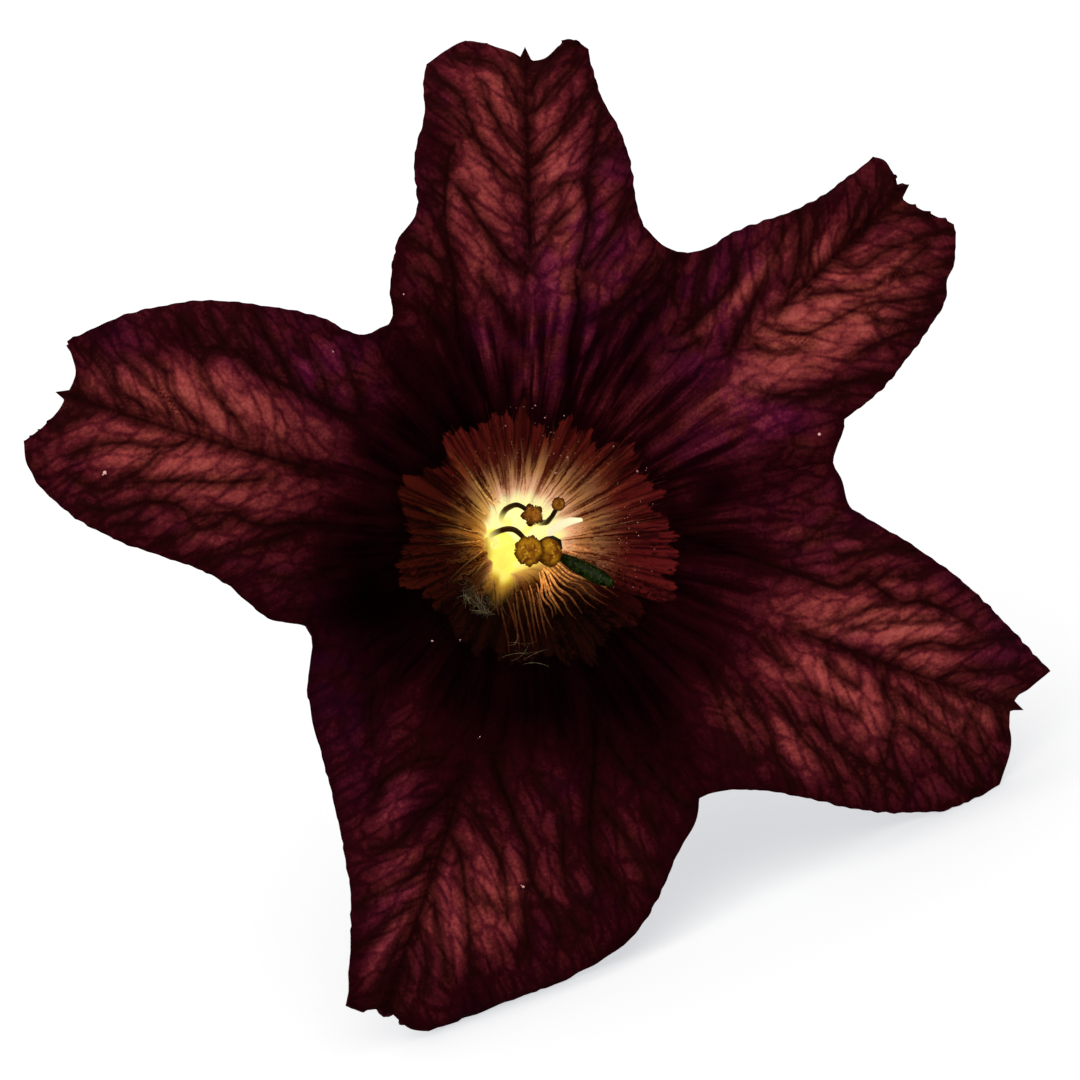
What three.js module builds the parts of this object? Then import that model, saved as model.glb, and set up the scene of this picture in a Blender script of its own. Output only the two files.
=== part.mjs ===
// A painted tongue flower, cut and laid down: millimetres, +Z up.
// The bloom is drawn with its face towards +Z and its tube towards -Z, and is laid down at the end.
import * as THREE from 'three';
import { mergeVertices } from 'three/addons/utils/BufferGeometryUtils.js';

// How the cut flower lies
const AXIS_RISE = 23.54;       // degrees that the open face looks up
const ROLL = -20.61;           // degrees that the face is turned about its own axis

// The corolla
const PETAL_WALL = 0.7;
const LIMB_RADIUS = 10;     // where the throat opens into the five lobes
const SINUS_AT = 0.33;      // share of a lobe's length over which it is joined to its neighbours
const TIP_FROM = 0.5;       // share of a lobe's length from which it takes the shape of its tip
const THROAT_ROWS = 14;
const LOBE_COLUMNS = [-1, -0.88, -0.74, -0.58, -0.43, -0.28, -0.15, -0.06, 0,
  0.06, 0.15, 0.28, 0.43, 0.58, 0.74, 0.88, 1];
const LOBE_ROWS = [0, 0.07, 0.14, 0.21, 0.27, SINUS_AT, 0.4, 0.47, 0.54, 0.61, 0.68, 0.75, 0.81, 0.87,
  0.92, 0.96, 1];
const VEIN_DEPTH = 0.75;    // the furrow over each midvein
const VALLEY_DEPTH = 0.8;   // the valley between two lobes, up to where they part
const PANEL_RISE = 0.8;     // how far each half of a lobe swells
const THROAT_RIB = 0.12;

// Radius and height of the corolla's inner face, from the foot of the tube outwards
const PROFILE = [[1.8, -49], [1.9, -44], [1.9, -37], [2, -30], [2.5, -25], [3.7, -20.6], [5.5, -16.4],
  [7.7, -12.5], [10, -9.2], [13, -5.9], [16.5, -3.1], [20, -1.3], [24, -0.3], [28, 0], [40, 0]];
const LIMB_POINT = 8;       // the point of the profile at LIMB_RADIUS

// Bearing in degrees and radius of the five gaps where neighbouring lobes part
const SINUS = {
  topRight: [64.3, 18.6],
  topLeft: [130.3, 15.9],
  right: [12.8, 17.7],
  lowRight: [-61.6, 18.75],
  lowLeft: [201.9, 16],
};

// Each lobe runs out along its bearing. Its points are millimetres along and across that line, and
// across is positive on the counterclockwise side. Every margin starts at its gap and ends at its
// corner, and every tip runs from the notch to the corner. A fold is a furrow: its place across the
// lobe at the throat and at the tip, and its depth. Waves are height, number and phase.
const LOBES = {
  top: {
    bearing: 93.5, clockwiseGap: 'topRight', counterGap: 'topLeft',
    notch: [28.9, -0.3], mucro: 0.9, bow: 0.35, recurve: 3, cup: -0.6,
    waves: [0.7, 1.6, 0.3], folds: [[-0.45, -0.62, 0.5], [0.55, 0.72, 0.5]],
    clockwise: [[16.9, -7.9], [17.7, -7.2], [19, -6.5], [23.1, -6], [26.7, -4.7], [29.4, -4.2]],
    counter: [[13.5, 8.9], [15.3, 9], [18, 8.4], [19.9, 7.2], [23, 7.2], [25.7, 6.3], [28.1, 6.1],
      [29.1, 5.8]],
    clockwiseTip: [[29, -1.5], [30.1, -3]],
    counterTip: [[29.5, 0.7], [30.3, 3.4]],
  },
  upperRight: {
    bearing: 43.6, clockwiseGap: 'right', counterGap: 'topRight',
    notch: [29.9, 0], mucro: 0.9, bow: 0, recurve: 2, cup: -0.6,
    waves: [0.6, 1.5, 1.9], folds: [[-0.5, -0.6, 0.35], [0.45, 0.5, 0.4]],
    clockwise: [[17.2, -8.1], [17.9, -7.7], [20.8, -7.9], [26.5, -7], [28.3, -5.9], [29.5, -5.3],
      [31, -3.7]],
    counter: [[19, 5.7], [20.7, 5.4], [25.2, 3.5], [29, 2.9], [30.4, 2.8]],
    clockwiseTip: [[29.9, -0.8], [30.5, -2.4]],
    counterTip: [[30.3, 0.7], [30.7, 2]],
  },
  lowerRight: {
    bearing: -20.9, clockwiseGap: 'lowRight', counterGap: 'right',
    notch: [31, 0], mucro: 0.8, bow: -0.6, recurve: 4.5, cup: -0.8,
    waves: [0.7, 1.7, 0.9], folds: [[0.5, 0.45, 0.5], [-0.55, -0.6, 0.35]],
    clockwise: [[16.1, -11.2], [18.8, -10.4], [21.1, -10], [25, -9.3], [28.5, -8], [30.3, -6.8],
      [31.9, -4.9]],
    counter: [[15.7, 9.1], [16.6, 7.9], [17.6, 7.5], [20.9, 6.9], [24.8, 5.9], [28.8, 4.5], [32.6, 2.9]],
    clockwiseTip: [[31.1, -0.9], [31.8, -2.6]],
    counterTip: [[31.1, 0.7], [31.5, 1.2]],
  },
  bottom: {
    bearing: -109.5, clockwiseGap: 'lowLeft', counterGap: 'lowRight',
    notch: [31.2, 0], mucro: 0.3, bow: 0, recurve: 0.5, cup: -0.4,
    waves: [0.8, 1.5, 2.6], folds: [[0.55, 0.6, 0.5], [-0.5, -0.5, 0.3]],
    clockwise: [[11.6, -11.4], [14.2, -11], [16, -10], [20.1, -7.1], [23.4, -5.3], [25.8, -4.2],
      [31.6, -2.3]],
    counter: [[14.2, 14.2], [16.7, 13.7], [18.6, 13.6], [21.2, 13.1], [23.1, 12.2], [26.4, 9.3],
      [29.4, 5.8], [31.6, 2.9]],
    clockwiseTip: [[31.3, -0.4], [31.7, -1.5]],
    counterTip: [[31.3, 0.4], [31.8, 1.7]],
  },
  left: {
    bearing: 164.9, clockwiseGap: 'topLeft', counterGap: 'lowLeft',
    notch: [30.8, 0], mucro: 0.7, bow: 0.45, recurve: 2, cup: -0.6,
    waves: [0.7, 1.6, 1.2], folds: [[0.5, 0.55, 0.4], [-0.5, -0.55, 0.4]],
    clockwise: [[14.3, -8.4], [15.6, -8.4], [17.6, -8.7], [22.4, -8.1], [25.2, -7.4], [28.7, -5.6],
      [31.6, -3.1]],
    counter: [[14.2, 9.9], [15.6, 9.9], [18.6, 8.6], [21, 8.2], [25.1, 7.9], [28.7, 7], [31.5, 5.3],
      [32.6, 3.4]],
    clockwiseTip: [[30.6, -0.9], [30.7, -1.7]],
    counterTip: [[31, 1], [31.7, 2.3]],
  },
};

// The calyx, a cup with five teeth round the foot of the tube, and the stalk under it
const CALYX_INNER = 2.9;
const CALYX_BELLY = 3.3;    // inner radius where it is widest
const CALYX_WALL = 0.7;
const CALYX_FLOOR = -50;
const CALYX_GAP = -41;      // height of the gaps between its teeth
const CALYX_TOOTH = 6.5;
const CALYX_FLARE = 0.8;    // how far the teeth stand off at their tips
const STALK_ROUTE = [[0, 0, -51], [0, 0, -54.5], [0.2, 0.3, -58.3], [0.9, 1.6, -62], [2, 3.9, -65.4]];
const STALK_RADII = [1.5, 1.1, 0.95, 0.95, 1];

// The pistil and the stamens: middle lines, and radii at even steps along them
const PISTIL_ROUTE = [[0, 0, -48.9], [0, 0, -40], [0, 0, -32], [0, -0.3, -24], [0.3, -1, -18],
  [1.2, -1.2, -14.5]];
const PISTIL_RADII = [0.6, 1.25, 1.3, 0.7, 0.35, 0.3, 0.3, 0.3, 0.3, 0.3, 0.3, 0.3, 0.3, 0.3, 0.3, 0.3,
  0.3, 0.35];
const STIGMA_ROUTE = [[1.65, -1.45, -13.9], [3.1, -2.3, -13], [4.7, -3.2, -12.2]];
const STIGMA_RADII = [0.3, 0.36, 0.4, 0.42, 0.38, 0.2];
const STAMINODE_ROUTE = [[2.2, -0.1, -23.4], [1.8, 0.2, -19.5], [1.9, 0.7, -17], [3.2, 1.2, -15.5]];
const FILAMENT_RADII = [0.3];
const STAMENS = [
  { route: [[-1.2, 0, -32], [-1.4, 0.1, -27.5], [-2.1, 0.3, -23.2], [-1.7, 0.5, -19], [-1.2, 0.4, -16.3],
    [-0.8, -0.2, -13.9]],
  anther: [-0.54, -1.15, -12.4], size: [0.62, 0.85, 0.62], finish: 'gold' },
  { route: [[0.3, -1.3, -32], [0.9, -1.2, -23], [0.95, -0.15, -18], [1.2, 0, -15.8], [1.5, -0.5, -14]],
    anther: [0.9, -1.2, -12.9], size: [0.6, 0.85, 0.6], finish: 'gold' },
  { route: [[-0.4, 1.2, -32], [-0.6, 1.4, -27.5], [-1.4, 1.4, -23.5], [-1.5, 1.8, -19.5],
    [-1.1, 2, -16.5], [-0.75, 1.8, -15]],
  anther: [-0.2, 1.25, -14], size: [0.65, 0.65, 0.5], finish: 'brown' },
  { route: [[0.85, 0.95, -32], [0.95, 1.2, -26], [1, 1, -19.5], [1.05, 0.95, -17.3], [1.25, 1.3, -15.6]],
    anther: [1.5, 1.95, -14.3], size: [0.42, 0.42, 0.42], finish: 'brown' },
];

function smooth(value, from, to) {
  const share = Math.min(Math.max((value - from) / (to - from), 0), 1);
  return share * share * (3 - 2 * share);
}

function polar(degrees, radius) {
  const angle = THREE.MathUtils.degToRad(degrees);
  return new THREE.Vector2(radius * Math.cos(angle), radius * Math.sin(angle));
}

function lerp(a, b, share) {
  return a + (b - a) * share;
}

// The inner face's profile, looked up by radius
const profile = new THREE.SplineCurve(PROFILE.map(([radius, z]) => new THREE.Vector2(radius, z)));
const limbStart = LIMB_POINT / (PROFILE.length - 1);
const profileTable = profile.getPoints(1500).filter((point) => point.x > 2.6);

function profileHeight(radius) {
  const after = Math.max(profileTable.findIndex((point) => point.x >= radius), 1);
  const [a, b] = [profileTable[after - 1], profileTable[after]];
  return lerp(a.y, b.y, (radius - a.x) / (b.x - a.x));
}

// A lobe's edges as curves seen along the flower's axis
function drawLobe(lobe) {
  const place = ([along, across]) => new THREE.Vector2(along, across)
    .rotateAround(new THREE.Vector2(), THREE.MathUtils.degToRad(lobe.bearing));
  const side = (gap, margin, tip) => {
    const [degrees, radius] = SINUS[gap];
    const turn = THREE.MathUtils.euclideanModulo(degrees - lobe.bearing + 180, 360) - 180;
    const start = polar(degrees, LIMB_RADIUS);
    const sinus = polar(degrees, radius);
    const edge = new THREE.SplineCurve([sinus, ...margin.map(place)]);
    const corner = margin[margin.length - 1];
    const end = new THREE.SplineCurve([lobe.notch, ...tip, corner].map(place));
    const edgeAt = (t) => (t <= SINUS_AT
      ? start.clone().lerp(sinus, t / SINUS_AT)
      : edge.getPointAt((t - SINUS_AT) / (1 - SINUS_AT)));
    return { turn, edgeAt, tipAt: (share) => end.getPointAt(share) };
  };
  const middleAt = (t) => place([
    lerp(LIMB_RADIUS, lobe.notch[0], t),
    lobe.notch[1] * t + lobe.bow * 4 * t * (1 - t),
  ]);
  return {
    place,
    middleAt,
    clockwise: side(lobe.clockwiseGap, lobe.clockwise, lobe.clockwiseTip),
    counter: side(lobe.counterGap, lobe.counter, lobe.counterTip),
  };
}

// A point of the corolla's inner face. Across a lobe s runs from -1 at its clockwise edge to 1, and
// t runs from -1 at the foot of the tube through 0 where the lobes begin to 1 at the tip.
function facePoint(lobe, drawn, s, t) {
  const side = s < 0 ? drawn.clockwise : drawn.counter;
  const width = Math.abs(s);
  const bearing = lobe.bearing + width * side.turn;
  let plan;
  let half;
  let z;
  let slope;
  if (t < 0) {
    const at = limbStart * (1 + t);
    const point = profile.getPoint(at);
    const tangent = profile.getTangent(at);
    plan = polar(bearing, point.x);
    half = point.x * THREE.MathUtils.degToRad(Math.abs(side.turn));
    z = point.y;
    slope = new THREE.Vector2(-tangent.y, tangent.x);
  } else {
    const straight = (at) => drawn.middleAt(at).lerp(side.edgeAt(at), width);
    plan = straight(t);
    const root = polar(bearing, LIMB_RADIUS).sub(straight(0));
    plan.addScaledVector(root, (1 - t) ** 2);
    const tip = side.tipAt(width).sub(straight(1));
    const reach = Math.max((t - TIP_FROM) / (1 - TIP_FROM), 0);
    plan.addScaledVector(tip, reach ** 2);
    half = side.edgeAt(t).distanceTo(drawn.middleAt(t));
    const radius = plan.length();
    z = profileHeight(radius);
    const rise = (profileHeight(radius + 0.05) - profileHeight(radius - 0.05)) / 0.1;
    slope = new THREE.Vector2(-rise, 1).normalize();
  }
  const free = Math.min(Math.max((t - SINUS_AT) / (1 - SINUS_AT), 0), 1);
  const across = width * half;

  // furrows, valleys between lobes, swelling and waves, all along the face's normal
  const inside = 1 - smooth(width, 0.85, 1);
  const taper = inside * (1 - 0.5 * smooth(t, 0.8, 1));
  let lift = -VEIN_DEPTH * Math.exp(-((across / 0.9) ** 2)) * smooth(t, -0.25, 0.25) * taper;
  for (const [from, to, depth] of lobe.folds) {
    const off = (s - lerp(from, to, t)) * half;
    const share = inside * smooth(t, -0.1, 0.2) * (1 - smooth(t, 0.6, 0.95));
    lift -= depth * Math.exp(-(off ** 2)) * share;
  }
  const joined = 1 - smooth(t, SINUS_AT * 0.55, SINUS_AT * 1.25);
  lift -= VALLEY_DEPTH * Math.exp(-(((half - across) / 1.3) ** 2)) * smooth(t, -0.25, 0.2) * joined;
  const swell = 1 - (2 * width - 1) ** 2;
  lift += PANEL_RISE * swell * smooth(t, -0.3, 0.35) * (1 - smooth(t, 0.75, 1.05));
  const [height, number, phase] = lobe.waves;
  const turn = 2 * Math.PI * (number * t + phase * 0.16 + (s < 0 ? 0.37 : 0));
  lift += height * width ** 2 * Math.sin(turn) * smooth(t, SINUS_AT, 0.75);
  const rib = Math.cos(THREE.MathUtils.degToRad(bearing) * 20);
  lift += THROAT_RIB * rib * smooth(t, -0.75, -0.4) * (1 - smooth(t, -0.25, 0.05));

  // the lobe bends back towards its tip and its sides roll
  z += -lobe.recurve * free ** 2 + lobe.cup * (across / 8) ** 2 * smooth(t, SINUS_AT, 0.9);
  const out = plan.clone().normalize();
  plan.addScaledVector(out, slope.x * lift);
  return new THREE.Vector3(plan.x, plan.y, z + slope.y * lift);
}

// Joins rows of points into a face that looks towards the side from which they run counterclockwise
function gridTriangles(rows) {
  const points = [];
  for (let i = 0; i + 1 < rows.length; i += 1) {
    for (let j = 0; j + 1 < rows[i].length; j += 1) {
      const [a, b, c, d] = [rows[i][j], rows[i + 1][j], rows[i + 1][j + 1], rows[i][j + 1]];
      points.push(a, b, c, a, c, d);
    }
  }
  return points;
}

// Gives a face a wall behind it: the same triangles again, moved back along the normals, and rims
function thicken(points, wall) {
  const face = mergeVertices(new THREE.BufferGeometry().setFromPoints(points), 1e-4);
  const kept = [];
  const faceIndex = face.index.array;
  for (let i = 0; i < faceIndex.length; i += 3) {
    const [a, b, c] = faceIndex.slice(i, i + 3);
    if (a !== b && b !== c && c !== a) kept.push([a, b, c]);
  }
  face.setIndex(kept.flat());
  face.computeVertexNormals();
  const front = face.attributes.position;
  const normal = face.attributes.normal;
  const place = [...front.array];
  for (let i = 0; i < front.count; i += 1) {
    place.push(front.getX(i) - wall * normal.getX(i));
    place.push(front.getY(i) - wall * normal.getY(i));
    place.push(front.getZ(i) - wall * normal.getZ(i));
  }
  const edges = new Set();
  for (const [a, b, c] of kept) {
    edges.add(`${a} ${b}`).add(`${b} ${c}`).add(`${c} ${a}`);
  }
  const behind = front.count;
  const index = [];
  for (const [a, b, c] of kept) {
    index.push(a, b, c, c + behind, b + behind, a + behind);
    for (const [from, to] of [[a, b], [b, c], [c, a]]) {
      if (edges.has(`${to} ${from}`)) continue;
      index.push(to, from, from + behind, to, from + behind, to + behind);
    }
  }
  const solid = new THREE.BufferGeometry();
  solid.setAttribute('position', new THREE.Float32BufferAttribute(place, 3));
  solid.setIndex(index);
  return solid;
}

function makeCorolla() {
  const points = [];
  const throatRows = Array.from({ length: THROAT_ROWS }, (_, i) => i / THROAT_ROWS - 1);
  for (const lobe of Object.values(LOBES)) {
    const drawn = drawLobe(lobe);
    const rows = [...throatRows, ...LOBE_ROWS].map(
      (t) => LOBE_COLUMNS.map((s) => facePoint(lobe, drawn, s, t)),
    );
    // the midvein runs out into a short point in the notch
    const tip = rows[rows.length - 1][LOBE_COLUMNS.indexOf(0)];
    const spike = drawn.place([lobe.mucro, 0]);
    tip.add(new THREE.Vector3(spike.x, spike.y, 0));
    points.push(...gridTriangles(rows));
  }
  return thicken(points, PETAL_WALL);
}

function makeCalyx() {
  const COLUMNS = 40;
  const bowl = [[0.9, CALYX_FLOOR], [2.2, CALYX_FLOOR + 0.1], [CALYX_INNER, CALYX_FLOOR + 0.6],
    [CALYX_BELLY, CALYX_FLOOR + 2.5], [CALYX_BELLY, CALYX_FLOOR + 4.5], [CALYX_INNER, CALYX_GAP - 1]];
  const ring = (radiusAt, heightAt) => Array.from({ length: COLUMNS + 1 }, (_, j) => {
    const degrees = (j % COLUMNS) * (360 / COLUMNS);
    const tooth = Math.abs(THREE.MathUtils.euclideanModulo(degrees, 72) - 36) / 36;
    const plan = polar(degrees, radiusAt(tooth));
    return new THREE.Vector3(plan.x, plan.y, heightAt(tooth));
  });
  const rows = bowl.map(([radius, z]) => ring(() => radius, () => z));
  for (const share of [0.4, 0.7, 1]) {
    rows.push(ring(
      (tooth) => CALYX_INNER + CALYX_FLARE * (tooth * share) ** 2,
      (tooth) => CALYX_GAP - 1 + share * (1 + CALYX_TOOTH * tooth ** 1.4),
    ));
  }
  const points = gridTriangles(rows);
  const middle = new THREE.Vector3(0, 0, CALYX_FLOOR);
  for (let j = 0; j < COLUMNS; j += 1) {
    points.push(middle, rows[0][j], rows[0][j + 1]);
  }
  return thicken(points, CALYX_WALL);
}

// A round rod along a smooth line through the given points, closed at both ends
function makeRod(route, radii, sides, steps) {
  const path = new THREE.CatmullRomCurve3(route.map((point) => new THREE.Vector3(...point)));
  const { normals, binormals } = path.computeFrenetFrames(steps, false);
  const radiusAt = (share) => {
    const at = share * (radii.length - 1);
    const before = Math.floor(at);
    return lerp(radii[before], radii[Math.min(before + 1, radii.length - 1)], at - before);
  };
  const rings = Array.from({ length: steps + 1 }, (_, i) => {
    const middle = path.getPointAt(i / steps);
    return Array.from({ length: sides + 1 }, (__, j) => {
      const side = polar((360 * (j % sides)) / sides, radiusAt(i / steps));
      return middle.clone().addScaledVector(normals[i], side.x).addScaledVector(binormals[i], side.y);
    });
  });
  const points = gridTriangles(rings);
  for (let j = 0; j < sides; j += 1) {
    points.push(path.getPointAt(0), rings[0][j], rings[0][j + 1]);
    points.push(path.getPointAt(1), rings[steps][j + 1], rings[steps][j]);
  }
  // the triangles run the other way round from a face's, so that they look outwards
  return mergeVertices(new THREE.BufferGeometry().setFromPoints(points.reverse()), 1e-4);
}

// An anther: an egg with a furrow between its two pollen sacs
function makeAnther(place, size) {
  const egg = new THREE.SphereGeometry(1, 14, 10);
  const position = egg.attributes.position;
  for (let i = 0; i < position.count; i += 1) {
    const [x, y, z] = [position.getX(i), position.getY(i), position.getZ(i)];
    const waist = 1 - 0.22 * Math.exp(-((x / 0.3) ** 2)) * (1 - Math.abs(y));
    position.setXYZ(i, x, y, z * waist);
  }
  egg.scale(...size);
  egg.translate(...place);
  return egg;
}

const FINISHES = {
  petal: new THREE.MeshStandardMaterial({ color: '#4a1620', roughness: 0.75, metalness: 0 }),
  green: new THREE.MeshStandardMaterial({ color: '#5f7a3a', roughness: 0.7, metalness: 0 }),
  filament: new THREE.MeshStandardMaterial({ color: '#3b3318', roughness: 0.5, metalness: 0 }),
  gold: new THREE.MeshStandardMaterial({ color: '#b98a3a', roughness: 0.8, metalness: 0 }),
  brown: new THREE.MeshStandardMaterial({ color: '#6d4a2a', roughness: 0.8, metalness: 0 }),
  darkGreen: new THREE.MeshStandardMaterial({ color: '#26341c', roughness: 0.45, metalness: 0 }),
  pale: new THREE.MeshStandardMaterial({ color: '#e6dcae', roughness: 0.5, metalness: 0 }),
};

const flower = new THREE.Group();

function add(name, geometry, finish) {
  const mesh = new THREE.Mesh(geometry, FINISHES[finish]);
  mesh.name = name;
  flower.add(mesh);
}

add('corolla', makeCorolla(), 'petal');
add('calyx', makeCalyx(), 'green');
add('pedicel', makeRod(STALK_ROUTE, STALK_RADII, 12, 16), 'green');
add('pistil', makeRod(PISTIL_ROUTE, PISTIL_RADII, 10, 34), 'green');
add('stigma', makeRod(STIGMA_ROUTE, STIGMA_RADII, 10, 10), 'darkGreen');
add('staminode', makeRod(STAMINODE_ROUTE, FILAMENT_RADII, 8, 10), 'pale');
STAMENS.forEach(({ route, anther, size, finish }, i) => {
  add(`filament_${i + 1}`, makeRod(route, FILAMENT_RADII, 8, 20), 'filament');
  add(`anther_${i + 1}`, makeAnther(anther, size), finish);
});

// Laid down: the face looks towards -Y and up, and the origin is under the middle of its box
flower.rotation.set(THREE.MathUtils.degToRad(90 - AXIS_RISE), 0, THREE.MathUtils.degToRad(ROLL), 'XYZ');
const laid = new THREE.Group();
laid.add(flower);
laid.updateMatrixWorld(true);
const box = new THREE.Box3().setFromObject(flower, true);
flower.position.set(-(box.min.x + box.max.x) / 2, -(box.min.y + box.max.y) / 2, -box.min.z);

export default laid;
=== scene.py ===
# A painted tongue flower, cut and laid on a pale table.
# Blender works in metres. The flower is drawn in millimetres in a frame of its own, with its face
# towards +Z and its tube towards -Z, and to_world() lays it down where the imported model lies.
import math

import bpy
import numpy as np
from mathutils import Matrix, Vector
from mathutils.bvhtree import BVHTree


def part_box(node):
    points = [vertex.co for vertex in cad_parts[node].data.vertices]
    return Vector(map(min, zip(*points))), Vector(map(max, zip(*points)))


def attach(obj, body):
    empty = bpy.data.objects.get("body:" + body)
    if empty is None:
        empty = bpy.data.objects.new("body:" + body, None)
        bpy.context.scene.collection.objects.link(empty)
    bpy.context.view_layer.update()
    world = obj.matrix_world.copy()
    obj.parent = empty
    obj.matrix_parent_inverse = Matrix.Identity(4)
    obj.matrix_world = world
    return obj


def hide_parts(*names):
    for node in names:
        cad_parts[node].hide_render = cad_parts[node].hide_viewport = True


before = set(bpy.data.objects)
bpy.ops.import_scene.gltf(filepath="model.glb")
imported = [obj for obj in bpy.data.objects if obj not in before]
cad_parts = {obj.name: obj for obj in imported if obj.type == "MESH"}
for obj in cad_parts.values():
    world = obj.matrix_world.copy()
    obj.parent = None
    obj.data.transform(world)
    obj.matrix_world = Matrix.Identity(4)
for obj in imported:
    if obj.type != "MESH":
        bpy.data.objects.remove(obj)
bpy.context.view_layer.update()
dice = np.random.default_rng(7)

MM = 0.001

# How the cut flower lies
AXIS_RISE = 23.54       # degrees that the open face looks up
ROLL = -20.61           # degrees that the face is turned about its own axis

# The corolla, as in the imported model
LIMB_RADIUS = 10.0      # where the throat opens into the five lobes
SINUS_AT = 0.33         # share of a lobe's length over which it is joined to its neighbours
TIP_FROM = 0.5          # share of a lobe's length from which it takes the shape of its tip
VEIN_DEPTH = 0.32       # the furrow over each midvein
FURROW_WIDTH = 0.7
VALLEY_DEPTH = 0.8      # between neighbouring lobes
VALLEY_WIDTH = 1.3
PANEL_RISE = 0.8        # how far each half of a lobe swells
THROAT_RIB = 0.12       # height of the folds round the throat
THROAT_FOLDS = 20
# Radius and height down the middle of the wall, from the foot of the tube
PROFILE = np.array([
    (1.8, -49), (1.9, -44), (1.9, -37), (2, -30), (2.5, -25), (3.7, -20.6), (5.5, -16.4), (7.7, -12.5),
    (10, -9.2), (13, -5.9), (16.5, -3.1), (20, -1.3), (24, -0.3), (28, 0), (40, 0)])
LIMB_POINT = 8          # the place of LIMB_RADIUS in it
SIDES = ("clockwise", "counter")

# Bearing in degrees and radius of the five gaps where neighbouring lobes part
SINUS = {
    "topRight": (64.3, 18.6),
    "topLeft": (130.3, 15.9),
    "right": (12.8, 17.7),
    "lowRight": (-61.6, 18.75),
    "lowLeft": (201.9, 16),
}

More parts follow.
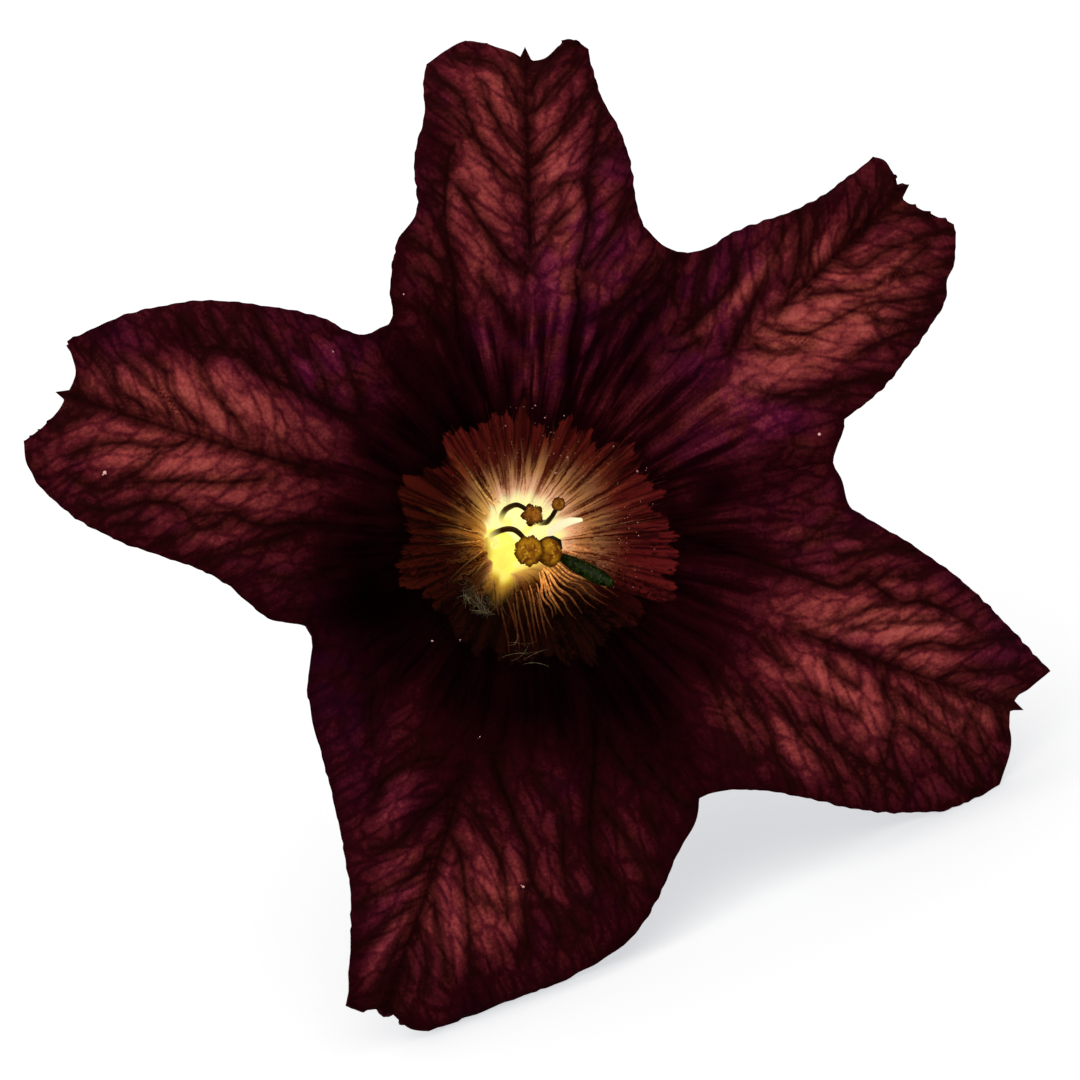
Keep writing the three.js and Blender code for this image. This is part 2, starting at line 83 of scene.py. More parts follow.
# Each lobe runs out along its bearing. Points are millimetres along and across that line, and across
# is positive on the counterclockwise side. A fold is its place across at the throat and at the tip,
# and its depth. Waves are height, number and phase. A lit patch is painted light on the tissue, or
# painted shade where it is darker: its middle, half its length and width, its slant in degrees and how
# much lighter it is; a plum one is its middle, its radius and how purple it is. A vein is its strength
# and its points. The lobes are listed counterclockwise.
LOBES = {
    "lowerRight": {
        "bearing": -20.9, "clockwiseGap": "lowRight", "counterGap": "right",
        "notch": (31, 0), "veinFrom": 0.3, "mucro": 0.8, "bow": -0.6, "recurve": 4.5, "cup": -0.8,
        "waves": (0.7, 1.7, 0.9), "folds": [(0.5, 0.45, 0.5), (-0.55, -0.6, 0.35)],
        "clockwise": [(16.1, -11.2), (18.8, -10.4), (21.1, -10), (25, -9.3), (28.5, -8), (30.3, -6.8),
                      (31.9, -4.9)],
        "counter": [(15.7, 9.1), (16.6, 7.9), (17.6, 7.5), (20.9, 6.9), (24.8, 5.9), (28.8, 4.5),
                    (32.6, 2.9)],
        "clockwiseTip": [(31.1, -0.9), (31.8, -2.6)],
        "counterTip": [(31.1, 0.7), (31.5, 1.2)],
        "lit": [(20.2, 1.7, 4.6, 1.5, 10, 0.45), (23.6, 2.2, 2.6, 1, 22, 0.4),
                (18.4, 0.4, 3, 0.8, 6, 0.26), (24.8, 0.4, 2.6, 0.8, 8, 0.34),
                (19.4, -2.8, 3.4, 1.4, -10, 0.5), (22.8, -4, 1.4, 1.1, 0, 0.18),
                (16.4, -3.8, 1.3, 0.7, 0, 0.12), (26.4, -2.2, 3.4, 2, -10, 0.28),
                (25.4, -5, 2.6, 1.4, -12, 0.16), (29.4, -0.8, 2, 1.2, 0, 0.24),
                (18.6, -7.2, 2.4, 1.3, -28, 0.34), (14.6, -7, 1.8, 1, -30, 0.34),
                (17, 5, 3, 1, 0, 0.15), (15, 5.2, 1.4, 0.6, 30, 0.16), (20.8, 4, 1.6, 0.6, 4, 0.2),
                (22.4, -7, 2.6, 1.6, -14, 0.15), (15, -10, 3.5, 2.4, 0, -0.08),
                (19, -0.9, 3, 0.6, 0, -0.14), (26, -5.7, 1.6, 1, 0, -0.18)],
        "plum": [(14, 5.5, 2.4, 0.6), (29, 3.5, 3, 0.6), (24, 5.2, 3, 0.35), (20, -0.2, 1.6, 0.4),
                 (17, 7.2, 2, 0.5)],
        "veins": [
            (1, [(7.9, 3), (11.9, 2.9), (15.3, 2.8), (17.9, 2.8), (19.2, 3.8), (21.6, 3.2),
                   (23.3, 3.8), (26.5, 3.5)]),
            (0.7, [(14.3, 4), (15.4, 5), (15.9, 6), (16.4, 6.9)]),
            (0.7, [(15.8, 5.2), (17.1, 6.1), (18.7, 6.4)]),
            (0.8, [(17.3, 4.5), (18.8, 5.5), (20.5, 6.4), (21.6, 6.4)]),
            (0.7, [(18.4, 3.7), (19.9, 4.2), (21.4, 4.8), (22.5, 5.5)]),
            (0.7, [(18.1, 0.3), (19.9, 2), (21.6, 3.2)]),
            (0.7, [(19.3, 0.4), (20.5, 1.3), (22.4, 2.2), (24.9, 3.3)]),
            (0.9, [(22.4, 0.2), (24.1, 1.5), (26.1, 2), (27.7, 3.1), (29.2, 3.8)]),
            (0.8, [(25.3, -0.5), (26.6, 0.5), (28.8, 1.5), (31, 2.5)]),
            (0.7, [(14.8, -1.6), (16.3, -2.6), (17.2, -2.9)]),
            (0.8, [(18.7, -1.7), (19.8, -2.4), (20.9, -2.6)]),
            (0.7, [(17.7, -3.8), (18.5, -3.9), (20.1, -4), (21.7, -4.3)]),
            (0.8, [(17.1, -5.1), (19, -6.8), (20.8, -7.6), (22.2, -8.7)]),
            (0.8, [(19.1, -5.5), (20.7, -6.4), (22.8, -7.5), (24, -8.4)]),
            (0.8, [(20.7, -6.3), (23.5, -6.9), (25, -6.7), (26.4, -7.5)]),
            (0.8, [(22.2, -1.2), (22.8, -2.3), (23.8, -3.2), (24, -4.9), (24.3, -6.1), (23.8, -7.2)]),
            (0.8, [(23.6, -2), (25.2, -2.7), (26.8, -3.2), (28.2, -3.1), (28.5, -1.1)]),
            (0.8, [(23.9, -3.5), (26, -4.2), (27.5, -4.9), (29.4, -6), (30.8, -5.7)]),
            (0.6, [(24.7, -0.9), (26.2, -1.7), (27.6, -2.1)]),
            (0.7, [(28.7, -1.8), (30.3, -3.4), (31.6, -4.1)]),
            (0.7, [(28.1, -3.4), (30, -4.5), (30.8, -5.3)]),
            (0.7, [(26.9, -0.7), (29.3, -0.5), (30.4, -1), (31, -1.8)]),
            (0.8, [(15.1, -5.2), (16.9, -7), (18, -8.5), (19.6, -9.7)]),
            (0.6, [(13.9, -5.3), (15.6, -7.3), (16.8, -9)]),
            (0.6, [(12.3, -4.5), (13.9, -6.6), (15.8, -9.3)]),
            (0.6, [(23.5, -6.9), (25.1, -7.9)]),
        ],
    },
    "upperRight": {
        "bearing": 43.6, "clockwiseGap": "right", "counterGap": "topRight",
        "notch": (29.9, 0), "veinFrom": 0.45, "mucro": 0.9, "bow": 0, "recurve": 2, "cup": -0.6,
        "waves": (0.6, 1.5, 1.9), "folds": [(-0.5, -0.6, 0.35), (0.45, 0.5, 0.4)],
        "clockwise": [(17.2, -8.1), (17.9, -7.7), (20.8, -7.9), (26.5, -7), (28.3, -5.9), (29.5, -5.3),
                      (31, -3.7)],
        "counter": [(19, 5.7), (20.7, 5.4), (25.2, 3.5), (29, 2.9), (30.4, 2.8)],
        "clockwiseTip": [(29.9, -0.8), (30.5, -2.4)],
        "counterTip": [(30.3, 0.7), (30.7, 2)],
        "lit": [(20.5, -1.8, 4.5, 2, -12, 0.5), (16.2, -2.2, 3, 1.4, -12, 0.38),
                (24.5, -2.6, 3.5, 2.4, -16, 0.25), (21.5, -4.2, 3, 1.3, -14, 0.3),
                (19.2, 2.5, 3.6, 0.55, 2, 0.45), (24.2, 0.9, 2.2, 0.8, 10, 0.35),
                (13.5, 2.7, 1.2, 0.5, 0, 0.2), (22.8, 2.7, 0.6, 0.4, 0, 0.2),
                (29.4, -0.4, 1.2, 0.5, 0, 0.25), (27.5, -4, 2.6, 2, -10, 0.13),
                (14.5, -4.6, 2, 1, -12, 0.16), (11.2, 3, 1.8, 0.8, 0, -0.2),
                (26.4, 3, 1.4, 0.8, 0, -0.2), (10.3, -0.3, 1.8, 0.8, 0, -0.18),
                (14.5, -0.8, 1.6, 0.7, 0, -0.16), (18.7, -0.8, 1.5, 0.8, 0, 0.2),
                (25.2, 1.6, 1.4, 0.8, 0, -0.16), (9.4, -5.5, 1.6, 1, 0, -0.16)],
        "plum": [(13.5, -3.2, 2, 1), (15.5, -5.6, 1.6, 1), (14, 0.8, 2, 0.7), (15, 4.2, 3, 0.7),
                 (20, 4.4, 3, 0.7), (17, 2.2, 1, 0.6), (10, -2.5, 2, 0.6)],
        "veins": [
            (0.9, [(20.9, -0.3), (22.4, -1.4), (24.2, -2.9), (25.4, -3.1), (27, -3.3), (28.8, -3.5)]),
            (0.8, [(23.9, -0.5), (24.7, -1.5), (26.6, -1.9), (28.5, -2.7), (30.6, -3.7)]),
            (0.7, [(26.7, 0.1), (27.9, -0.2), (29.1, -0.9), (30.1, -2.2)]),
            (0.9, [(18, -0.1), (18.9, -1.4), (20, -2.4), (23.1, -3.3), (24.6, -4.3), (26.2, -5.5),
                   (27.8, -6.2)]),
            (0.8, [(16.9, -0.3), (17.4, -1.5), (19.4, -2.9)]),
            (0.7, [(25.4, -3.1), (26.8, -4.1), (29.1, -5.2)]),
            (0.7, [(23.1, -3.6), (23.5, -5.2), (25.5, -6.1), (26.3, -6.5)]),
            (0.7, [(20.5, -5.2), (22.2, -5.6), (24.1, -6.4), (25, -7)]),
            (0.7, [(17.2, -5), (18.4, -5.7), (20.3, -6.7), (21.1, -7.6)]),
            (0.6, [(15.2, -2.2), (16.2, -4.1), (17.4, -5.5), (18.8, -6.6)]),
            (0.7, [(21.8, 0.1), (23.5, 1.6), (25.1, 2.6)]),
            (0.7, [(20.5, 0.4), (22.1, 1.3), (23.5, 2.5), (24.2, 3.6)]),
            (0.7, [(23.9, -0.1), (25.6, 0.5), (27.5, 1.2), (28.4, 1.6)]),
            (0.7, [(26.5, 0.1), (28.8, 0.7), (30, 1.6)]),
            (0.7, [(15.6, 0.2), (17.1, 0.7), (19.2, 1.7), (21.8, 2.8), (22.9, 3.3)]),
            (0.8, [(13.1, 2.9), (14.1, 2.2), (15, 2.1)]),
            (0.8, [(14, 3.1), (15.6, 3), (17.3, 3), (18.9, 3.3), (19.9, 4.4)]),
            (0.7, [(15.6, 3), (17.1, 4.5), (18.4, 5.3)]),
            (0.7, [(15.2, 5), (16.3, 6.1), (17, 6.7)]),
        ],
    },
    "top": {
        "bearing": 93.5, "clockwiseGap": "topRight", "counterGap": "topLeft",
        "notch": (28.9, -0.3), "veinFrom": 0.32, "mucro": 0.9, "bow": 0.35, "recurve": 3, "cup": -0.6,
        "waves": (0.7, 1.6, 0.3), "folds": [(-0.45, -0.62, 0.5), (0.55, 0.72, 0.5)],
        "clockwise": [(16.9, -7.9), (17.7, -7.2), (19, -6.5), (23.1, -6), (26.7, -4.7), (29.4, -4.2)],
        "counter": [(13.5, 8.9), (15.3, 9), (18, 8.4), (19.9, 7.2), (23, 7.2), (25.7, 6.3), (28.1, 6.1),
                    (29.1, 5.8)],
        "clockwiseTip": [(29, -1.5), (30.1, -3)],
        "counterTip": [(29.5, 0.7), (30.3, 3.4)],
        "lit": [(22.6, 3.2, 3.4, 1.6, 0, 0.3), (26.8, 1.4, 2.8, 1.1, 8, 0.34),
                (27.2, 3.6, 2.2, 1, 12, 0.15), (17.5, 3.4, 3.4, 1.7, 2, 0.28),
                (19.6, 5.1, 1.7, 0.5, 0, 0.35), (15.6, 1.4, 1.6, 0.6, 0, 0.2),
                (22.2, -1.3, 2.6, 0.9, -14, 0.38), (19.8, -2.5, 2, 0.7, 0, 0.3),
                (16, -1.7, 3, 1.2, 0, 0.25), (25.4, -1, 2, 0.7, -14, 0.25),
                (24, -3.2, 2.2, 0.9, -18, 0.25), (17, 6.8, 1.6, 0.6, 14, 0.15),
                (12, 3.5, 2, 1.2, 0, 0.15), (15.5, -3.6, 5, 2.2, 0, 0.12), (11.5, 0, 5, 0.6, 0, 0.16),
                (24.5, -3, 1.6, 1, 0, -0.22), (24, 5.8, 1.6, 0.9, 0, -0.22),
                (22.3, 1.2, 1.6, 0.8, 0, 0.2), (18.2, -0.4, 1.8, 0.7, 0, 0.2),
                (18.3, 4.6, 1.6, 0.8, 0, -0.18), (9.7, 1.7, 1.8, 0.6, 0, -0.14)],
        "plum": [(11, -1, 3, 1), (16, -1.8, 3, 0.8), (13, 3.7, 1.2, 0.9), (18, -4, 3, 0.7),
                 (21.5, -4.8, 2, 0.6), (14, -4.5, 2.5, 0.6), (20.5, 7, 2, 0.5)],
        "veins": [
            (0.8, [(25.7, 0.5), (27.1, 0.8), (28.6, 1.6), (29, 2.6), (29.3, 4.1)]),
            (0.8, [(22.9, 0.4), (24.3, 1.5), (26.1, 2.4), (27.4, 2.7)]),
            (0.9, [(20.8, 0.7), (22.1, 1.9), (23.1, 2.7), (25, 3.6), (26.5, 3.9), (27.5, 4.7),
                   (28.2, 5.5)]),
            (0.7, [(23.1, 2.7), (24.5, 3.8), (25.7, 4.7), (26.5, 5.6)]),
            (0.9, [(15.9, 0.6), (17.2, 2), (18.9, 3.2), (20.1, 3.9), (21.1, 4.5)]),
            (0.8, [(12.2, 1), (13.6, 1.7), (14.6, 2.4), (15.9, 3.3)]),
            (1, [(9.1, 3.4), (12.2, 4.8), (16.6, 5.2), (18.8, 5.5), (22.5, 5.2), (23.7, 4.7)]),
            (0.6, [(18.3, 7.7), (17.3, 6.5), (16, 5.4)]),
            (0.6, [(16.4, 7.7), (15.4, 6.2), (14.2, 5.2)]),
            (0.6, [(14.4, 7.2), (13.2, 6.2), (12.4, 4.8)]),
            (0.6, [(21.5, 6.3), (20.2, 5.9), (18.8, 5.6)]),
            (0.8, [(26.4, -0.2), (28.2, -1.1), (29.3, -2.4), (29.9, -3.6)]),
            (0.7, [(25.2, -0.2), (26.6, -1.5), (27.9, -2.7), (28.8, -3.5)]),
            (0.8, [(22, 0), (23.3, -1.1), (24.4, -2.1), (25.8, -3.4), (27, -4.4)]),
            (0.7, [(19, 0.1), (20.1, -0.6), (21.1, -1.8), (21.3, -3.3), (22.7, -4.5), (23.3, -5.3)]),
            (0.6, [(17, 0), (18.4, -1), (19.4, -2.1)]),
            (1, [(8.5, -2.4), (11.7, -2.3), (13.9, -2.8), (15.9, -2.6), (18.8, -3.4), (20.9, -3.4),
                   (24.1, -4.2), (25.6, -4.7)]),
            (0.7, [(15.9, -2.7), (16.8, -4), (18.9, -5.3), (20.2, -6.1)]),
            (0.7, [(12.7, -3.3), (13.5, -4.6), (14.9, -6.3), (16.3, -7.6)]),
            (0.8, [(10.3, -2.6), (11.6, -3.9), (13.2, -5.4), (14.5, -7.3), (15.9, -7.9)]),
            (0.7, [(8.3, -3.8), (10.8, -5.4), (12.5, -7), (14.4, -8.3)]),
        ],
    },
    "left": {
        "bearing": 164.9, "clockwiseGap": "topLeft", "counterGap": "lowLeft",
        "notch": (30.8, 0), "veinFrom": 0.18, "mucro": 0.7, "bow": 0.45, "recurve": 2, "cup": -0.6,
        "waves": (0.7, 1.6, 1.2), "folds": [(0.5, 0.55, 0.4), (-0.5, -0.55, 0.4)],
        "clockwise": [(14.3, -8.4), (15.6, -8.4), (17.6, -8.7), (22.4, -8.1), (25.2, -7.4),
                      (28.7, -5.6), (31.6, -3.1)],
        "counter": [(14.2, 9.9), (15.6, 9.9), (18.6, 8.6), (21, 8.2), (25.1, 7.9), (28.7, 7),
                    (31.5, 5.3), (32.6, 3.4)],
        "clockwiseTip": [(30.6, -0.9), (30.7, -1.7)],
        "counterTip": [(31, 1), (31.7, 2.3)],
        "lit": [(21.5, 2.4, 5, 2.4, 6, 0.48), (26.5, 2, 2.6, 1.4, 5, 0.27),
                (21.8, -2, 4.2, 1.8, -12, 0.55), (27, -1.2, 2.8, 1.1, -14, 0.35),
                (20, 6.2, 2.6, 0.9, 10, 0.15), (15.2, 6.8, 1.3, 0.9, 0, 0.15),
                (15.5, -1.6, 2.2, 1.3, 0, 0.15), (17.2, -5.2, 0.8, 0.6, 0, 0.2),
                (14.6, -5.6, 3.4, 2, 0, 0.17), (13, 6, 4, 3, 0, -0.06), (25, -5.6, 2, 1.2, 0, -0.1),
                (24.8, -1.2, 1.5, 0.9, 0, 0.26), (18.4, -0.6, 1.8, 0.8, 0, -0.2),
                (19.9, 0.9, 1.6, 0.8, 0, -0.18), (25.8, -4.6, 1.6, 1, 0, -0.18),
                (30, -4.2, 1.5, 1, 0, -0.16)],
        "plum": [(15, -6, 2.6, 1), (28.7, -4.2, 2, 0.6), (13.5, 8.4, 1.8, 0.9), (20, -6.8, 3, 0.5),
                 (17.2, -5, 1.2, 0.6)],
        "veins": [
            (0.7, [(26.8, 0), (28.1, -1), (29.5, -2.3), (30.5, -2.9)]),
            (0.7, [(24.9, 0), (26.5, -0.6), (27.8, -1.2), (28.7, -2.3), (29.9, -3)]),
            (0.7, [(23.9, 0), (25.8, -1.6), (27, -2.5), (28.1, -3)]),
            (0.8, [(22.2, -0.1), (23.9, -1), (25, -1.9), (25.5, -2.9), (26.9, -3.4)]),
            (0.8, [(19.2, 0), (20.9, -1.4), (22.5, -2.5), (23.4, -3.5), (23.4, -4.5)]),
            (1, [(12.9, -3.7), (15.1, -3.6), (16.9, -3.9), (20, -4.4), (21.5, -5.1), (22.7, -5.1),
                   (24, -4.7)]),
            (0.7, [(16.9, -3.9), (18.2, -4.8), (19.4, -5.9), (20.5, -7), (20.9, -7.6)]),
            (0.7, [(19.8, -4.5), (20.7, -5.5), (21.8, -6.4), (22.3, -7.2)]),
            (0.6, [(22.1, -5.1), (23, -6.1), (23.6, -6.8)]),
            (0.6, [(23.5, -4.9), (24.6, -5.7), (25.2, -6.4)]),
            (0.7, [(15.1, -3.6), (16.1, -5), (17.1, -6.1), (18.4, -6.8)]),
            (0.6, [(12.9, -3.7), (14.3, -5.5), (15.2, -6.9)]),
            (0.7, [(29.1, 0.7), (29.8, 1.2), (30.8, 2.1)]),
            (0.9, [(22.4, 0.6), (24.5, 1.7), (26.7, 2), (28.6, 2.8), (29.4, 3.6)]),
            (0.8, [(24.3, 1.6), (25.1, 3.1), (26.1, 4.2), (27.1, 5.1), (28.4, 5), (29.3, 4.8)]),
            (0.9, [(17.5, 1.6), (20.2, 2.7), (22.6, 3.3), (24.9, 4), (26.8, 4.6)]),
            (0.8, [(21.6, 5.3), (22.8, 4.8), (24.6, 5.2), (25.8, 6), (27, 6.3), (28.1, 6.3)]),
            (0.9, [(13.4, 3.3), (15.4, 3.9), (17.5, 4.7), (19.7, 4.5), (21.6, 5.4)]),
            (0.6, [(19.6, 5.2), (21, 5.8), (22.1, 6.7), (23, 7.3)]),
            (0.7, [(14.9, 4), (16.4, 5.3), (18, 6.2), (19.4, 7.2), (20.2, 7.6)]),
            (0.5, [(25.6, 6.9), (24.3, 6.4)]),
            (0.6, [(12.7, 5.9), (14.1, 7.2), (16.4, 7.6)]),
        ],
    },
    "bottom": {
        "bearing": -109.5, "clockwiseGap": "lowLeft", "counterGap": "lowRight",
        "notch": (31.2, 0), "veinFrom": 0.28, "mucro": 0.3, "bow": 0, "recurve": 0.5, "cup": -0.4,
        "waves": (0.8, 1.5, 2.6), "folds": [(0.55, 0.6, 0.5), (-0.5, -0.5, 0.3)],
        "clockwise": [(11.6, -11.4), (14.2, -11), (16, -10), (20.1, -7.1), (23.4, -5.3), (25.8, -4.2),
                      (31.6, -2.3)],
        "counter": [(14.2, 14.2), (16.7, 13.7), (18.6, 13.6), (21.2, 13.1), (23.1, 12.2), (26.4, 9.3),
                    (29.4, 5.8), (31.6, 2.9)],
        "clockwiseTip": [(31.3, -0.4), (31.7, -1.5)],
        "counterTip": [(31.3, 0.4), (31.8, 1.7)],
        "lit": [(23.6, 2.6, 4.2, 2.2, 10, 0.42), (26.4, 1.6, 2.6, 1.4, 10, 0.14),
                (22.6, 4.9, 2.6, 1, 14, 0.36), (20.8, 7.2, 1.4, 1, 18, 0.26),
                (20.4, 9.2, 0.8, 0.6, 0, 0.14), (17.4, 11.2, 2.4, 1.2, 30, 0.24),
                (19.6, -3.7, 2.4, 0.8, -8, 0.24), (23.6, -2.4, 2.2, 0.9, -20, 0.3),
                (25, -0.9, 3.4, 1.1, -8, 0.24), (27.6, -1.4, 2.4, 0.7, -8, 0.28),
                (13.4, -4.4, 3, 1.2, -18, 0.1), (17.4, 5.6, 3.4, 2, 12, 0.09),
                (28.4, 4.6, 2.2, 1.6, 0, -0.14), (27, 0.5, 4, 0.9, 0, 0.12), (15.5, 11, 5, 3, 0, -0.09),
                (12.5, -9, 4, 2.6, 0, -0.06), (13, 1, 4, 6, 0, -0.03)],
        "plum": [(15, -8.6, 2.4, 0.9), (18.5, -6.6, 2.2, 0.5), (19, -2.6, 2, 0.3), (26, -0.8, 3, 0.4),
                 (12, -10.6, 2, 0.9)],
        "veins": [
            (1, [(14, 1), (16.1, 2.3), (18.1, 3.9), (19.4, 5), (20.9, 5.6), (21.8, 6.8),
                   (22.5, 7.9), (23.7, 8.5)]),
            (1, [(10.2, 6.8), (13.2, 7.5), (16.2, 8.1), (18.5, 8.9), (19.9, 9.7), (21.3, 9.6)]),
            (0.9, [(20.1, 0.7), (21.9, 1.7), (24.1, 2.7), (26.3, 3.6), (27.4, 4.2)]),
            (0.9, [(17.9, 0.9), (19.4, 2.6), (21.1, 4), (22.9, 4.8), (23.7, 5.1)]),
            (0.7, [(20.9, 5.6), (22.9, 5.9), (24.4, 6.7), (25.6, 6.8)]),
            (0.7, [(23.7, 0.4), (25.1, 1.1), (26.8, 2.1), (28.3, 2.9)]),
            (0.8, [(25.5, -0.2), (26.9, 0.9), (28.3, 1.6), (29.5, 1.8)]),
            (0.6, [(26.9, -0.4), (28.3, 0.4), (29.5, 0.7)]),
            (0.9, [(17, -0.2), (18.7, -1.3), (20.2, -2.1), (21.7, -2.7), (22.3, -4)]),
            (0.8, [(15.8, -1.7), (16.9, -3.6), (18.3, -4.7), (19.5, -4.9)]),
            (0.9, [(21.1, -0.4), (22.8, -1), (23.7, -1.8), (24.6, -2.7), (25.6, -3.5)]),
            (0.8, [(24.5, -0.3), (25.8, -1.5), (26.9, -1.9), (28.1, -2.8)]),
            (0.6, [(26.9, -0.6), (28.9, -0.8), (30, -0.8)]),
            (0.6, [(13, -7.4), (15, -6.8), (16.5, -6.1)]),
            (0.8, [(15.1, 4.1), (16.2, 5.7), (16.8, 6.5), (19.8, 7.5), (21, 8.5), (21.5, 9.5)]),
            (0.8, [(15.3, 8.4), (16.4, 10), (17.1, 11.5), (18, 12.8)]),
            (0.7, [(11.2, 7.7), (12.6, 9.3), (13.2, 10.5)]),
            (0.7, [(11.6, 10.1), (12.9, 12), (13.4, 13.3)]),
            (0.6, [(14.6, 11.4), (15.6, 12.1)]),
            (0.7, [(18.8, 9.5), (19.5, 11), (20.7, 11.8)]),
            (0.7, [(16.4, 10), (18.2, 12.1), (19.1, 12.8)]),
            (0.6, [(22.3, 8.5), (22.9, 9.7)]),
            (0.5, [(22.9, 2.9), (23.3, 3.9), (22.8, 4.7)]),
        ],
    },
}

# Bearing in degrees and radius of the points and dents of the golden zone's ragged border
GOLD_BORDER = [(7, 8.7), (16, 7.8), (19, 8.3), (30, 7.7), (36, 8), (43, 8.8), (47, 7.4), (56, 7.2),
               (75, 7.9), (83, 7), (90, 7.4), (96, 8.9), (101, 7.6), (112, 8.1), (120, 7.7), (133, 8.9),
               (140, 7.9), (148, 8.1), (160, 9.5), (166, 9.4), (171, 8.8), (183, 8.9), (193, 9.5),
               (205, 8.6), (216, 8.5), (231, 8.7), (244, 8.6), (261, 8.5), (270, 7.9), (278, 7.8),
               (290, 9.1), (300, 7.8), (319, 9), (326, 8.1), (337, 9.5), (348, 8.4), (367, 8.7)]

# Bearing and radius out to which the painted glow of light that comes up the tube reaches
GLOW_REACH = [(10, 3.7), (30, 3.8), (60, 3.9), (85, 4.1), (115, 4.1), (135, 4), (157, 3.4), (175, 2.8),
              (200, 2.3), (214, 2.6), (226, 3.6), (240, 4.2), (249, 3.8), (257, 3), (266, 2.5),
              (285, 2.4), (305, 2.4), (340, 3.1)]
# The same for the streaks of that painted light
STREAK_REACH = [(0, 6.9), (30, 7), (55, 7), (75, 6.8), (96, 6.2), (116, 6.4), (135, 7.4), (150, 6.8),
                (165, 6.5), (200, 5.7), (250, 5.6), (300, 5.6), (340, 6.9)]

# Bearing, and the colour of the raised lines of the throat near the light and at their far end:
# lighter near the mouth by painted light
THROAT_TINTS = [
    (5, (232, 160, 104), (96, 34, 24)),
    (60, (240, 178, 128), (100, 38, 26)),
    (90, (246, 190, 134), (98, 38, 24)),
    (135, (246, 196, 108), (92, 38, 16)),
    (190, (200, 128, 56), (58, 24, 9)),
    (225, (150, 92, 42), (30, 10, 5)),
    (255, (184, 104, 48), (74, 24, 9)),
    (300, (206, 138, 70), (84, 34, 15)),
    (325, (214, 146, 80), (96, 40, 22)),
    (345, (230, 156, 100), (98, 38, 26)),
]

# Raised ridges on the wall of the throat: half thickness, and bearing and radius of their points
RIDGES = [
    (0.09, [(302, 2.4), (290, 3.2), (284, 3.9), (286, 4.8), (284, 5.4)]),
    (0.08, [(305, 2.4), (295, 3.1), (288, 3.9), (289, 4.6), (287, 5.3)]),
    (0.1, [(306, 2.4), (299, 3), (292, 3.9), (291, 4.8), (291, 5.5)]),
    (0.08, [(309, 2.4), (303, 3), (297, 3.8), (298, 4.6), (296, 5.4), (297, 6)]),
    (0.1, [(312, 2.4), (305, 3.1), (302, 3.9), (304, 4.5), (303, 5.2), (302, 5.9)]),
    (0.08, [(316, 2.5), (310, 3.2), (308, 3.9), (311, 4.6), (309, 5.4), (310, 6.2)]),
    (0.1, [(320, 2.5), (315, 3.2), (314, 3.9), (317, 4.5), (315, 5.1), (315, 5.8), (316, 6.5)]),
    (0.08, [(324, 2.6), (319, 3.3), (318, 4), (321, 4.8), (319, 5.6), (320, 6.3)]),
    (0.09, [(328, 2.6), (322, 3.4), (322, 4.1), (324, 4.9), (324, 5.6), (323, 6.6)]),
    (0.08, [(334, 2.8), (331, 3.6), (331, 4.6), (329, 5.6)]),
    (0.07, [(338, 2.8), (335, 3.8), (336, 4.8), (334, 6)]),
    (0.09, [(250, 4.2), (256, 5.3), (260, 6.4), (261, 7.5)]),
    (0.09, [(259, 3.6), (261, 5.3), (263, 6.3), (264, 7.2)]),
    (0.08, [(256, 4.4), (259, 5.6), (260, 6.6), (258, 7.4)]),
    (0.08, [(247, 5), (252, 6.2), (255, 7.1), (256, 7.8)]),
    (0.08, [(265, 3.4), (266, 4.6), (267, 5.8), (268, 7.2)]),
    (0.08, [(272, 3.4), (270, 5.4), (270, 6.9)]),
    (0.07, [(278, 3), (274, 4.4), (273, 5.4), (273, 6.4)]),
    (0.08, [(281, 3.6), (277, 5.3), (276, 6.7)]),
    (0.07, [(286, 3), (281, 4.2), (280, 5.2), (281, 6.2)]),
    (0.07, [(232, 3.4), (240, 4.4), (247, 5.6)]),
    (0.06, [(243, 4), (247, 4.8), (252, 5.4)]),
    (0.06, [(195, 2.8), (199, 3.5), (204, 4.9), (209, 6.5)]),
    (0.06, [(209, 2.8), (211, 3.4), (214, 4.3)]),
    (0.05, [(222, 2.8), (221, 3.7), (225, 4.6)]),
    (0.06, [(180, 2.8), (183, 3.4), (185, 4.9), (186, 6.5)]),
    (0.05, [(168, 2.8), (172, 3.7), (172, 4.9), (174, 6.5)]),
    (0.06, [(145, 2.8), (149, 3.6), (150, 4.8)]),
    (0.08, [(128, 2.8), (134, 3.9), (135, 5), (135, 6.3), (136, 7.8)]),
    (0.06, [(121, 2.8), (127, 3.3), (130, 4.2), (130, 5)]),
    (0.08, [(89, 2.9), (93, 4.1), (96, 5.1), (98, 6.5)]),
    (0.06, [(69, 2.9), (68, 3.7), (66, 4.6), (64, 5.3)]),
    (0.06, [(14, 3), (8, 4.9), (8, 6.1), (8, 8)]),
    (0.06, [(12, 3), (4, 3.9), (-1, 5.2)]),
    (0.07, [(-4, 2.8), (-11, 3.9), (-14, 5), (-16, 6.3)]),
    (0.06, [(-12, 2.7), (-17, 3.5), (-20, 4.7)]),
]
FINE_LINES = 90         # thin lines between the ridges

# Loose threads caught in the throat: plan place of their middle, spread, how many, how far they
# reach, which way they run and by how much that varies
THREADS = [((-3.6, -4.3), 0.3, 22, 1.5, -70, 30), ((-4.3, -3.8), 0.35, 20, 1.2, 20, 180),
           ((-3.3, -4.9), 0.3, 18, 1.3, -30, 60), ((-3.8, -4.3), 0.6, 12, 2, -50, 180),
           ((-1, -7.4), 0.6, 8, 2, 8, 40)]

